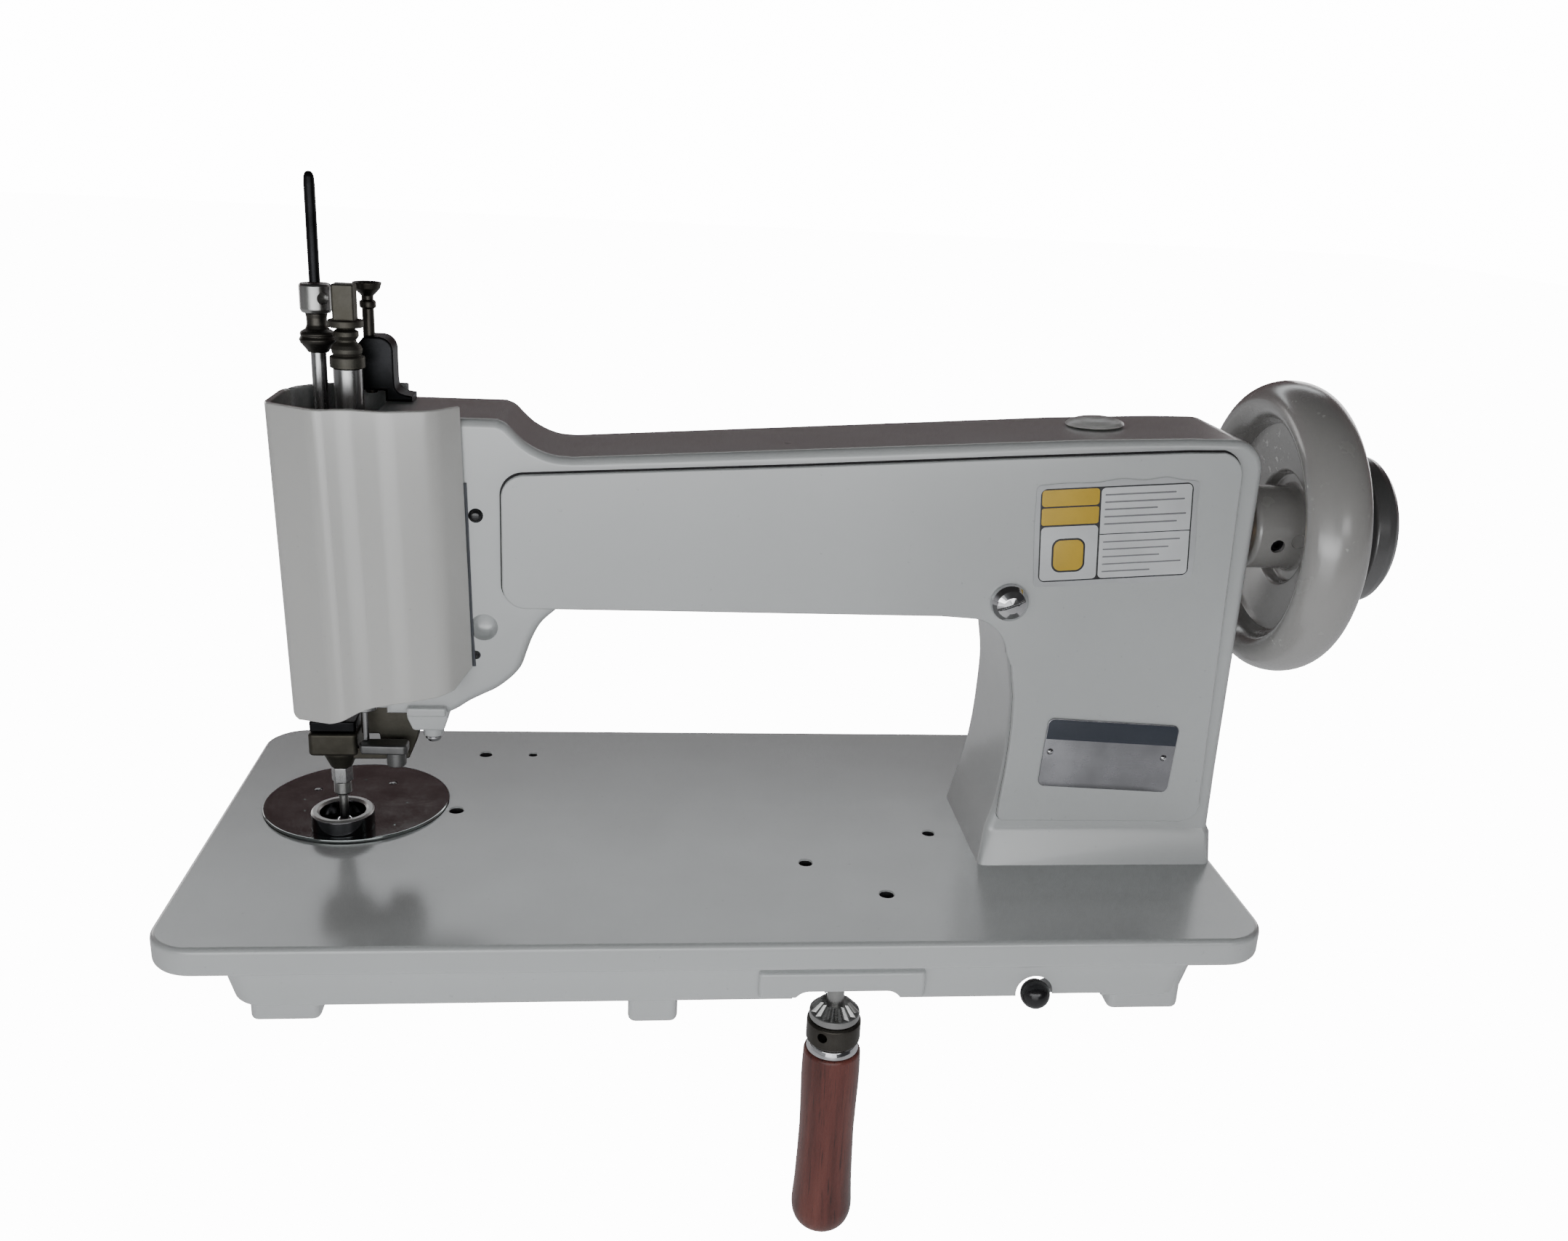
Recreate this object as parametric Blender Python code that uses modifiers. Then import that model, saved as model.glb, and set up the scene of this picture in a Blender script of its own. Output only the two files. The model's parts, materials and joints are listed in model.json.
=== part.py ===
"""Chain-stitch sewing machine head with a turning under-bed handle.

Sizes are in millimetres and are turned into metres where a mesh is made.
X runs along the bed to the handwheel, Y from the operator to the back, Z up.
Z = 0 is the underside of the bed's rim, X = 0 the bed's middle, and Y = 0 the
middle of the flat strip along the front of the rim, on which the table bears.
"""
import math

import bmesh
import bpy
from mathutils import Matrix, Vector

MM = 0.001
GAP = 0.3           # clearance kept between neighbouring pieces
FIT = 0.1           # radial clearance of a running fit

# ---- driving dimensions -------------------------------------------------------------------
BED_LENGTH = 476.0
BED_DEPTH = 225.0
BED_THICK = 13.0
BED_CORNER = 20.0
FRONT_STRIP = 6.0   # from the origin to the bed's front edge, and to the apron's front wall
BED_FRONT = -FRONT_STRIP
BED_BACK = BED_DEPTH - FRONT_STRIP
APRON_HALF = 215.0
APRON_BACK = 205.0
APRON_DROP = 22.0
APRON_WALL = 7.0
FOOT_DROP = 30.0
MIDDLE_FOOT_DROP = 33.5

FACE_Y = 69.0       # front face of the arm and column
AXIS_Y = 101.0      # plane of the main shaft and the needle
SHAFT_Z = 171.4
COLUMN_LEFT = 131.0
COLUMN_RIGHT = 234.0
HEAD_LEFT = -150.0
HEAD_TOP = 216.8
HEAD_LOW = 84.3
COVER_TOP = 222.5
NEEDLE_X = -177.0
PRESSER_X, PRESSER_Y = -163.0, 90.0
POST_X, POST_Y = -157.0, 108.0
BOSS_X, BOSS_Y = -132.0, 86.0
BUTTON_X = -109.2

WHEEL_X = 260.0
WHEEL_RIM_R = 58.5  # to the middle of the rim's section
PLATE_X, PLATE_Y, PLATE_R = -176.4, 128.1, 44.1
PLATE_TOP = 14.0

UPRIGHT_X = 183.0   # vertical shaft inside the column
LOWER_Z = -14.0     # lower shaft under the bed
STEER_X, STEER_Y = 53.0, 34.0
GUIDE_Z = -34.0     # height of the two horizontal direction shafts
GEAR_R = 11.7       # large end of every bevel gear
GEAR_TEETH = 16     # all pairs turn one to one


# ---- scene and materials --------------------------------------------------------------------
for old in list(bpy.data.objects):
    bpy.data.objects.remove(old, do_unlink=True)

PARTS = bpy.data.collections.new("sewing_machine")
CUTTERS = bpy.data.collections.new("cutters")
for group in (PARTS, CUTTERS):
    bpy.context.scene.collection.children.link(group)


def material(name, colour, roughness, metallic):
    """A plain Principled material."""
    made = bpy.data.materials.new(name)
    made.use_nodes = True
    shader = made.node_tree.nodes["Principled BSDF"]
    shader.inputs["Base Color"].default_value = (*colour, 1.0)
    shader.inputs["Roughness"].default_value = roughness
    shader.inputs["Metallic"].default_value = metallic
    return made


PAINT = material("cream_paint", (0.58, 0.58, 0.55), 0.28, 0.0)
COVER_PAINT = material("cover_paint", (0.62, 0.62, 0.57), 0.3, 0.0)
PULLEY_GREY = material("pulley_grey", (0.2, 0.19, 0.18), 0.45, 0.3)
BLACK_STEEL = material("black_steel", (0.03, 0.03, 0.032), 0.35, 0.8)
DARK_STEEL = material("dark_steel", (0.11, 0.1, 0.09), 0.4, 0.8)
STEEL = material("steel", (0.45, 0.45, 0.45), 0.3, 1.0)
CHROME = material("chrome", (0.72, 0.72, 0.73), 0.08, 1.0)
BRONZE = material("bronze", (0.45, 0.3, 0.14), 0.35, 1.0)
WHITE_PLASTIC = material("white_plastic", (0.72, 0.72, 0.7), 0.35, 0.0)
BLACK_PLASTIC = material("black_plastic", (0.012, 0.012, 0.014), 0.3, 0.0)
WOOD = material("stained_wood", (0.17, 0.05, 0.035), 0.4, 0.0)
NAME_METAL = material("nameplate_metal", (0.5, 0.49, 0.5), 0.25, 1.0)
LABEL = material("label_film", (0.66, 0.58, 0.25), 0.4, 0.0)


# ---- mesh helpers ---------------------------------------------------------------------------
def smooth(mesh):
    """Shade round sides smooth and keep the edges between faces crisp."""
    mesh.shade_smooth()
    mesh.set_sharp_from_angle(angle=math.radians(35))


def place(name, mesh, finish, group=PARTS):
    """Link a mesh as a named object."""
    item = bpy.data.objects.new(name, mesh)
    group.objects.link(item)
    if group is CUTTERS:
        item.hide_render = True
        item.display_type = "WIRE"
    else:
        mesh.materials.clear()
        mesh.materials.append(finish)
        smooth(mesh)
    return item


def arc(centre, radius, start, end, steps=6):
    """Points on an arc, angles in degrees."""
    angles = [math.radians(start + (end - start) * i / steps) for i in range(steps + 1)]
    return [(centre[0] + radius * math.cos(a), centre[1] + radius * math.sin(a)) for a in angles]


def circle(centre, radius, steps=12):
    """A closed ring of points."""
    return arc(centre, radius, 0, 360, steps)[:-1]


def rounded(low, high, radius, steps=4):
    """A rectangle with rounded corners, from its low to its high corner."""
    (x0, y0), (x1, y1) = low, high
    return (arc((x1 - radius, y0 + radius), radius, -90, 0, steps)
            + arc((x1 - radius, y1 - radius), radius, 0, 90, steps)
            + arc((x0 + radius, y1 - radius), radius, 90, 180, steps)
            + arc((x0 + radius, y0 + radius), radius, 180, 270, steps))


AXIS_TURN = {"Z": Matrix.Identity(4),
             "Y": Matrix.Rotation(math.radians(90), 4, "X"),
             "X": Matrix(((0, 0, 1, 0), (1, 0, 0, 0), (0, 1, 0, 0), (0, 0, 0, 1)))}


def plate(name, loops, low, high, axis="Z", finish=PAINT, group=PARTS):
    """A flat outline with holes, extruded from low to high along an axis.

    Points are (x, y) for axis Z, (x, z) for axis Y and (y, z) for axis X.
    """
    curve = bpy.data.curves.new(name, "CURVE")
    curve.dimensions = "2D"
    curve.fill_mode = "BOTH"
    curve.extrude = (high - low) / 2 * MM
    for loop in loops:
        spline = curve.splines.new("POLY")
        spline.points.add(len(loop) - 1)
        spline.use_cyclic_u = True
        for point, (a, b) in zip(spline.points, loop):
            point.co = (a * MM, b * MM, 0.0, 1.0)
    flat = bpy.data.objects.new(name, curve)
    CUTTERS.objects.link(flat)
    evaluated = flat.evaluated_get(bpy.context.evaluated_depsgraph_get())
    mesh = bpy.data.meshes.new_from_object(evaluated)
    bpy.data.objects.remove(flat, do_unlink=True)
    middle = (low + high) / 2 * MM
    shift = {"Z": (0, 0, middle), "Y": (0, middle, 0), "X": (middle, 0, 0)}[axis]
    mesh.transform(Matrix.Translation(shift) @ AXIS_TURN[axis])
    tidy(mesh)
    return place(name, mesh, finish, group)


def tidy(mesh):
    """Weld a mesh's loose caps and turn its faces outwards."""
    work = bmesh.new()
    work.from_mesh(mesh)
    bmesh.ops.remove_doubles(work, verts=work.verts, dist=1e-6)
    bmesh.ops.recalc_face_normals(work, faces=work.faces)
    work.to_mesh(mesh)
    work.free()


def turned(name, profile, centre, axis="Z", finish=STEEL, steps=12, ring=False, group=PARTS):
    """A turned piece: (radius, height) points, down the outer side, spun about an axis.

    A ring's profile is closed on itself, so that the piece has a bore.
    """
    mesh = bpy.data.meshes.new(name)
    edges = [(i, i + 1) for i in range(len(profile) - 1)]
    if ring:
        edges.append((len(profile) - 1, 0))
    mesh.from_pydata([(r * MM, 0.0, h * MM) for r, h in profile], edges, [])
    item = place(name, mesh, finish, group)
    item.location = [c * MM for c in centre]
    item.rotation_euler = AXIS_TURN[axis].to_euler()
    spin = item.modifiers.new("spin", "SCREW")
    spin.steps = steps
    spin.render_steps = steps
    spin.use_merge_vertices = True
    spin.merge_threshold = 1e-5
    return item


def rod(name, radius, low, high, centre, axis="Z", finish=STEEL, steps=10, group=PARTS):
    """A round bar between two heights along its axis."""
    profile = [(0, high), (radius, high), (radius, low), (0, low)]
    return turned(name, profile, centre, axis, finish, steps, group=group)


def sleeve(name, outer, inner, low, high, centre, axis="Z", finish=STEEL, steps=12):
    """A round bar with a bore."""
    profile = [(inner, high), (outer, high), (outer, low), (inner, low)]
    return turned(name, profile, centre, axis, finish, steps, ring=True)


def bore_for(radius, steps=12, gap=FIT):
    """Corner radius of a many-sided bore whose flats clear a round of this radius."""
    return (radius + gap) / math.cos(math.pi / steps)


def block(name, low, high, finish=PAINT, bevel=0.0, group=PARTS):
    """A box between two corners, with its edges rounded by a bevel."""
    work = bmesh.new()
    size = [h - l for l, h in zip(low, high)]
    middle = [(l + h) / 2 for l, h in zip(low, high)]
    turn = Matrix.Translation(Vector(middle) * MM) @ Matrix.Diagonal((*[s * MM for s in size], 1.0))
    bmesh.ops.create_cube(work, size=1.0, matrix=turn)
    mesh = bpy.data.meshes.new(name)
    work.to_mesh(mesh)
    work.free()
    item = place(name, mesh, finish, group)
    if bevel:
        soften(item, bevel)
    return item


def soften(item, width, segments=1, angle=40):
    """Round an object's edges."""
    bevel = item.modifiers.new("soft_edges", "BEVEL")
    bevel.width = width * MM
    bevel.segments = segments
    bevel.limit_method = "ANGLE"
    bevel.angle_limit = math.radians(angle)


def carve(item, cutter, operation="DIFFERENCE"):
    """Cut a cutter out of an object, or with UNION add it."""
    boolean = item.modifiers.new(cutter.name, "BOOLEAN")
    boolean.operation = operation
    boolean.solver = "EXACT"
    boolean.object = cutter


def drill(item, name, radius, low, high, centre, axis="Z", steps=10):
    """Bore a round hole through an object."""
    carve(item, rod(name, radius, low, high, centre, axis, steps=steps, group=CUTTERS))


def bevel_gear(shaft, name, centre, towards, hub=(7.0, 6.0)):
    """Join a 45-degree bevel gear and its hub to a shaft; its teeth narrow towards the crossing.

    centre is where the two shafts' axes cross, towards the unit vector from there to the gear, and hub
    the hub's radius and length. The gear stays clear of the one it meets.
    """
    radius, width, depth, clear, teeth = GEAR_R, 4.5, 1.7, 0.35, GEAR_TEETH
    work = bmesh.new()
    bmesh.ops.create_cone(work, cap_ends=True, segments=4 * teeth, radius1=radius - clear - width,
                          radius2=radius - clear, depth=width)
    for vert in work.verts:
        step = round(math.atan2(vert.co.y, vert.co.x) / (2 * math.pi) * 4 * teeth)
        reach = math.hypot(vert.co.x, vert.co.y)
        if step % 4 > 1:
            vert.co.xy *= (reach - depth) / reach
        vert.co.z += radius - width / 2
        vert.co *= MM
    mesh = bpy.data.meshes.new(name)
    work.to_mesh(mesh)
    work.free()
    gear = place(name, mesh, None, CUTTERS)
    boss = rod(name + "_hub", hub[0], radius - 0.1, radius + hub[1], centre, group=CUTTERS)
    for piece in (gear, boss):
        piece.rotation_euler = Vector(towards).to_track_quat("Z", "Y").to_euler()
        piece.location = [c * MM for c in centre]
        carve(shaft, piece, "UNION")


# ---- bed ------------------------------------------------------------------------------------
BED_HOLES = ((-120.0, 186.0, 3.2), (-95.0, 186.0, 2.2), (-127.4, 119.3, 3.4),
             (39.7, 65.3, 3.0), (73.4, 36.0, 3.2), (104.0, 95.0, 2.8))


def bed_outline():
    half = BED_LENGTH / 2
    return rounded((-half, BED_FRONT), (half, BED_BACK), BED_CORNER)


def draft(item, z_top, z_low, inset):
    """Draw a wall's lower points towards the middle, as a casting's draft does."""
    for vert in item.data.vertices:
        depth = (z_top * MM - vert.co.z) / ((z_top - z_low) * MM)
        vert.co.x -= math.copysign(inset * MM * max(0.0, depth), vert.co.x)


def make_bed():
    """The bed plate with its hanging apron, feet and openings, all one casting."""
    holes = [circle((x, y), r, 8) for x, y, r in BED_HOLES]
    well = circle((PLATE_X, PLATE_Y), PLATE_R - 6, 24)
    shaft_gap = rounded((165, 80), (205, 122), 8, 3)
    bed = plate("bed_casting", [bed_outline(), well, shaft_gap, *holes], 0, BED_THICK)
    walls = [rounded((-APRON_HALF + o, FRONT_STRIP + o), (APRON_HALF - o, APRON_BACK - o), 14 - o, 3)
             for o in (0, APRON_WALL)]
    apron = plate("apron", walls, -APRON_DROP, 1.0, group=CUTTERS)
    draft(apron, 0, -APRON_DROP, 7)
    carve(bed, apron, "UNION")
    for index, (x0, x1, drop) in enumerate(((-200, -171, FOOT_DROP), (-42, -20.5, MIDDLE_FOOT_DROP),
                                            (172, 205, FOOT_DROP))):
        for side, y in (("front", FRONT_STRIP + 1.2), ("back", APRON_BACK - 17.2)):
            foot = block(f"foot_{side}_{index}", (x0, y, -drop), (x1, y + 16, 0.6), group=CUTTERS)
            carve(bed, foot, "UNION")
    boss = block("front_boss", (14, 2.5, -19), (87, 12, -6.5), group=CUTTERS)
    carve(bed, boss, "UNION")
    rib = block("middle_rib", (-34, 12, -9), (-28, 199, 0.8), group=CUTTERS)
    carve(bed, rib, "UNION")
    seat = rod("plate_seat", PLATE_R + GAP, 0, 10, (PLATE_X, PLATE_Y, BED_THICK - 1.6), steps=28,
               group=CUTTERS)
    carve(bed, seat)
    arch = plate("gear_arch", [rounded((29, -40), (77, -15.5), 7, 3)], 0, 20, "Y", group=CUTTERS)
    carve(bed, arch)
    notch = plate("lever_notch", [circle((137, -19.5), 8.3, 12)], 0, 20, "Y", group=CUTTERS)
    carve(bed, notch)
    slot = block("lever_slot", (137, 3, -40), (168, 18, -20.2), group=CUTTERS)
    carve(bed, slot)
    return bed


# ---- arm and column -----------------------------------------------------------------------------
def arm_outline():
    """The casting's side view: hump, sloping arm, column with its flared foot, and the head's sweep."""
    right = COLUMN_RIGHT
    top = [(HEAD_LEFT, HEAD_TOP), (-100, HEAD_TOP), (-96, 215), (-92, 210.8), (-87.8, 207.1), (-81.8, 203.9),
           (-75.9, 202), (-69, 201.6), (26, 207.6), (151, 215.5), (200, 217.8)]
    corner = arc((right - 14, 204), 14, 90, 0, 5)
    back_foot = [(right + 0.5, 60), (right + 1, 30), (right + 2.4, 27), (right + 2.4, 13 + GAP)]
    flare = [(121.5, 13 + GAP), (125, 27), (128.5, 42), (130.5, 60), (COLUMN_LEFT, 80), (130.5, 97),
             (128, 112)]
    underside = [*arc((107, 116), 19, 10, 90, 5), (94, 135), (-70, 135)]
    sweep = [(-76, 134), (-82, 128), (-86, 121), (-88.6, 114), (-91, 107.4), (-95, 102.3), (-101.5, 97),
             (-108, 93.6),
             (-114, 90.4), (-118.5, 87.3), (-123, 85.1), (-128, HEAD_LOW), (HEAD_LEFT, HEAD_LOW)]
    return top + corner + back_foot + flare + underside + sweep


SKIRT_TOP = 29.0


def share(value, start, end):
    """How far a value is on its way from start to end, from 0 to 1."""
    return min(1.0, max(0.0, (value - start) / (end - start)))


def arm_back(x, z):
    """How far back the casting reaches: the arm deepens to the column, and the column to its foot."""
    return 122 + 9 * share(x, -100, 230) + 13 * share(x, 95, 131) * share(z, 190, 13)


def slice_mesh(mesh, cuts):
    """Cut a mesh's faces along planes across X or Z, so that they can bend there."""
    work = bmesh.new()
    work.from_mesh(mesh)
    for axis, height in cuts:
        across = Vector((axis == "X", 0, axis == "Z"))
        everything = [*work.verts, *work.edges, *work.faces]
        bmesh.ops.bisect_plane(work, geom=everything, plane_co=across * height * MM, plane_no=across)
    work.to_mesh(mesh)
    work.free()


def head_back_outline():
    """The head's thin back wall, seen from above, from its free left edge round to the arm."""
    outer = [(-190.4, 97.6), (-188.0, 104.4), (-182.3, 110.9), (-172, 117.3), (-160, 120.8), (-143, 121.4)]
    inner = [(-143, 118.2), (-160, 117.9), (-171, 114), (-179.6, 108.8), (-185, 102.6), (-187.2, 97.6)]
    return outer + inner


def make_arm():
    """The hollow arm, column and head, cast in one."""
    arm = plate("arm_casting", [arm_outline()], FACE_Y, FACE_Y + 60, "Y")
    slice_mesh(arm.data, (("X", -60), ("X", 50), ("X", 131), ("Z", SKIRT_TOP)))
    for vert in arm.data.vertices:
        x, y, z = (c / MM for c in vert.co)
        if y > FACE_Y + 30:
            vert.co.y = arm_back(x, z) * MM
        elif x > 118:
            vert.co.y = (FACE_Y - 7 * share(z, SKIRT_TOP, 13)) * MM
    soften(arm, 3.0)
    hollow = [(-86, 143), (95, 143), (112, 141), (134, 126), (138.5, 100), (138.5, 42), (219, 42), (226, 60),
              (224, 200), (216, 208), (150, 206), (26, 198.5), (-70, 192), (-86, 186)]
    carve(arm, plate("arm_hollow", [hollow], 50, 114, "Y", group=CUTTERS))
    carve(arm, block("column_hollow", (140, 76, 0), (226, 126, 60), group=CUTTERS))
    carve(arm, block("head_hollow", (-170, 77, 90), (-112, 116, 205), group=CUTTERS))
    carve(arm, plate("head_back", [head_back_outline()], 88, COVER_TOP, group=CUTTERS), "UNION")
    for name, low, high in (("upper_lug", 196, 206), ("lower_lug", 82, 94)):
        carve(arm, block(name, (NEEDLE_X, 82, low), (-140, 112, high), group=CUTTERS), "UNION")
        nose = rod(name + "_nose", 6.9, low, high, (NEEDLE_X, AXIS_Y, 0), steps=16, group=CUTTERS)
        carve(arm, nose, "UNION")
    lip = block("head_lip", (-140.5, 65.5, 84.9), (-123.5, 73, 89.2), group=CUTTERS)
    carve(arm, lip, "UNION")
    taper = [(-142, 80), (-139.5, 74.3), (-126, 74.3), (-124, 80), (-124, 86), (-142, 86)]
    carve(arm, plate("head_pad", [taper], 75, 96.5, "Y", group=CUTTERS), "UNION")
    boss = rod("head_boss", 4.8, 68.3, 76, (BOSS_X, BOSS_Y, 0), group=CUTTERS)
    carve(arm, boss, "UNION")
    post = rod("panel_post", 6.0, -118, -FACE_Y, (124, 0, 142.9), "Y", group=CUTTERS)
    carve(arm, post, "UNION")
    drill(arm, "needle_bore", bore_for(5.0, 16, GAP), 60, 230, (NEEDLE_X, AXIS_Y, 0), steps=16)
    drill(arm, "presser_bore", bore_for(6.0, 16), 60, 230, (PRESSER_X, PRESSER_Y, 0), steps=16)
    drill(arm, "left_shaft_bore", bore_for(9.7, 16, GAP), -120, -80, (0, AXIS_Y, SHAFT_Z), "X", 16)
    drill(arm, "right_shaft_bore", bore_for(11.7, 16, GAP), 215, 240, (0, AXIS_Y, SHAFT_Z), "X", 16)
    drill(arm, "oil_hole", 5.6, 195, 225, (166, 104, 0))
    drill(arm, "cover_hole", 3.0, -80, -64, (BUTTON_X, 0, 175.9), "Y")
    drill(arm, "panel_screw_hole", 2.9, -80, -64, (124, 0, 142.9), "Y")
    return arm


def panel_outline():
    """The side panel follows the arm, one column edge and the arm's underside."""
    left = arc((-88.4, 184.6), 10, 180, 95, 5)
    top = [(26.6, 201.4), (120, 207.6), (197.7, 212.4)]
    right = [*arc((212, 202), 11, 75, 0, 5), (227, 45), *arc((217.5, 44), 10, -10, -90, 5)]
    column = [(138, 35), (130, 37), (129.2, 42), (130.8, 60), (131.6, 80), (131, 97), (128.4, 112)]
    under = [*arc((107, 116), 18.6, 12, 90, 5), (94, 135.4), (-30, 135.6)]
    return left + top + right + column + under + arc((-88.4, 145.6), 10, 270, 180, 5)


def make_panel():
    """The side panel, its one screw, the nameplate with two rivets, and the label."""
    face = FACE_Y - GAP
    panel = plate("side_panel", [panel_outline()], face - 3.0, face, "Y")
    soften(panel, 0.8)
    drill(panel, "panel_hole", 2.9, -80, -60, (124, 0, 142.9), "Y")
    front = face - 3.0
    head = [(0, 6.5), (3.5, 6.1), (6.5, 4.8), (8.3, 2.6), (8.6, 0.6), (8.2, GAP), (2.6, GAP), (2.6, -12),
            (0, -12)]
    screw = turned("panel_screw", head, (124, front, 142.9), "Y", CHROME, 20)
    groove = block("screw_slot", (113, front - 8, 142.2), (135, front - 5.0, 143.6), group=CUTTERS)
    groove.rotation_euler.y = math.radians(-20)
    pivot = Vector((124, front - 6.5, 142.9)) * MM
    groove.location = pivot - groove.rotation_euler.to_matrix() @ pivot
    carve(screw, groove)
    tag_back = front - GAP
    outline = rounded((-31.5, -17), (31.5, 17), 3, 3)
    name = plate("nameplate", [outline], tag_back - 0.8, tag_back, "Y", NAME_METAL)
    hang(name, (178.9, 68.7), 3.1)
    for rivet, x in (("nameplate_rivet_left", 150.6), ("nameplate_rivet_right", 205.4)):
        z = 68.7 - (x - 178.9) * math.tan(math.radians(3.1)) + 0.6
        dome = [(0, 1.0), (1.0, 0.8), (1.6, 0.2), (1.6, 0)]
        turned(rivet, [*dome, (0, 0)], (x, tag_back - 1.1, z), "Y", STEEL, 16)
    outline = rounded((-35.5, -22.5), (35.5, 22.5), 4, 3)
    label = plate("info_label", [outline], tag_back - 0.5, tag_back, "Y", LABEL)
    hang(label, (168.5, 176.0), -4.2)


def hang(item, place_xz, turn):
    """Turn a flat tag in the panel's plane and hang it at its place (x, z)."""
    spin = Matrix.Rotation(math.radians(turn), 4, "Y")
    item.data.transform(Matrix.Translation((place_xz[0] * MM, 0, place_xz[1] * MM)) @ spin)


def make_oil_cap():
    slope = math.radians(-3.6)
    profile = [(0, 3.0), (6, 2.7), (11, 1.6), (13.3, 0.2), (13.3, -0.4), (4.6, -0.4), (4.6, -7), (0, -7)]
    cap = turned("oil_cap", profile, (166, 104, 217.3), finish=WHITE_PLASTIC, steps=20)
    cap.rotation_euler.y = slope


# ---- face cover -----------------------------------------------------------------------------------
COVER_WALL = 2.6


def cover_line():
    """The cover's outer outline seen from above, from its right edge round the front to the back."""
    return [(-114.2, 67.0), (-124.0, 54.6), (-142.0, 49.0), (-158.5, 52.3), (-167.5, 48.7), (-172, 49.8),
            (-190.2, 61.8), (-192.0, 66.0), (-192.3, 93.0), (-190.6, 97.0)]


def make_cover():
    """The faceted face cover: an open-backed shell in front of the needle mechanism."""
    outer = cover_line()
    mesh = bpy.data.meshes.new("face_cover")
    work = bmesh.new()
    rows = []
    lean = 3.0
    for z, shift in ((COVER_TOP, 0.0), (100.0, lean), (78.0, lean * 1.18)):
        rows.append([work.verts.new(((x + shift) * MM, y * MM, z * MM)) for x, y in outer])
    for upper, lower in zip(rows, rows[1:]):
        for i in range(len(outer) - 1):
            work.faces.new((upper[i], upper[i + 1], lower[i + 1], lower[i]))
    bmesh.ops.recalc_face_normals(work, faces=work.faces)
    work.to_mesh(mesh)
    work.free()
    cover = place("face_cover", mesh, COVER_PAINT)
    wall = cover.modifiers.new("wall", "SOLIDIFY")
    wall.thickness = COVER_WALL * MM
    wall.offset = -1.0
    wall.use_even_offset = True
    low = [(-200, 60), (-200, 92), (-184, 84.5), (-178, 86), (-164, 88.5), (-157, 93), (-147, 96.5),
           (-140, 98), (-126, 98.5), (-112, 100), (-104, 112), (-90, 112), (-90, 60)]
    carve(cover, plate("cover_hem", [low], 20, 72, "Y", group=CUTTERS))
    back = [(-200, 60), (-200, 96), (-150, 96), (-150, 60)]
    carve(cover, plate("cover_back_hem", [back], 72, 130, "Y", group=CUTTERS))
    return cover


# ---- throat ---------------------------------------------------------------------------------------
def make_throat():
    """The round needle plate with its screws, and the ring that stands round the needle."""
    low = BED_THICK - 1.6 + GAP
    rings = [circle((PLATE_X, PLATE_Y), PLATE_R, 36), circle((NEEDLE_X, AXIS_Y), 8.0, 16)]
    needle_plate = plate("needle_plate", rings, low, PLATE_TOP, finish=CHROME)
    for index, (x, y) in enumerate(((-198, 141), (-162.7, 148.8))):
        drill(needle_plate, f"plate_screw_hole_{index}", 2.0, 0, 20, (x, y, 0), steps=10)
        head = [(0, 0.4), (1.4, 0.3), (1.7, 0), (1.7, -1.8), (0, -1.8)]
        turned(f"plate_screw_{index + 1}", head, (x, y, PLATE_TOP), finish=STEEL, steps=12)
    inner, outer, low, top = 10.4, 14.5, PLATE_TOP + GAP, 23.0
    profile = [(inner + 1.0, top), (outer - 0.8, top), (outer, top - 0.8), (outer, low), (inner, low),
               (inner, top - 1.0)]
    turned("throat_ring", profile, (NEEDLE_X - 0.7, AXIS_Y, 0), finish=CHROME, steps=20, ring=True)


# ---- needle bar -------------------------------------------------------------------------------------
BAR_R = 3.2
BAR_FOOT = 54.2      # needle bar's lower end, above the foot nut when the presser is up
CRANK_R = 10.0
ROD_LENGTH = 48.0
CRANK_Z = SHAFT_Z - CRANK_R


def make_needle_bar():
    """The needle bar with its crosshead, needle, top collars and the slim rod on top."""
    axis = (NEEDLE_X, AXIS_Y, 0)
    rod("needle_bar", BAR_R, BAR_FOOT, 266, axis)
    seat = BAR_FOOT - GAP
    tip = [(0, seat), (0.9, seat), (0.9, 4), (0.25, -4), (0, -4)]
    turned("needle", tip, axis, finish=CHROME, steps=10)
    slim = [(0, 311), (1.5, 310.4), (2.2, 308.5), (2.3, 266.3), (0, 266.3)]
    turned("top_rod", slim, axis, finish=BLACK_STEEL, steps=10)
    bore = BAR_R + GAP
    spool = [(bore, 253.8), (4.4, 253.8), (4.2, 249), (4.9, 247.4), (6.9, 246.2), (7.2, 244.9), (7.0, 244.6),
             (7.7, 243.6), (7.4, 242), (5.2, 239.2), (4.2, 237.6), (bore, 237.6)]
    turned("spool_collar", spool, axis, finish=DARK_STEEL, ring=True)
    cap = [(bore, 266.2), (5.6, 266.2), (6.6, 265.2), (6.6, 255.4), (5.8, 254.1), (bore, 254.1)]
    collar = turned("top_collar", cap, axis, finish=DARK_STEEL, ring=True)
    facing = Matrix.Rotation(math.radians(40), 4, "Z")
    hole = rod("collar_screw_hole", 2.6, 3.6, 9, (0, 0, 0), "Y", group=CUTTERS)
    hole.matrix_world = Matrix.Translation(Vector((NEEDLE_X, AXIS_Y, 260.4)) * MM) @ facing @ AXIS_TURN["Y"]
    carve(collar, hole)
    low, high = CRANK_Z - ROD_LENGTH - 5, CRANK_Z - ROD_LENGTH + 5
    clamp = sleeve("needle_bar_crosshead", 6.2, bore, low, high, axis)
    side = block("crosshead_arm", (NEEDLE_X + 4.5, AXIS_Y - 3, low + 1.5), (-156.2, AXIS_Y + 3, high - 1.5),
                 group=CUTTERS)
    carve(clamp, side, "UNION")


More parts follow.
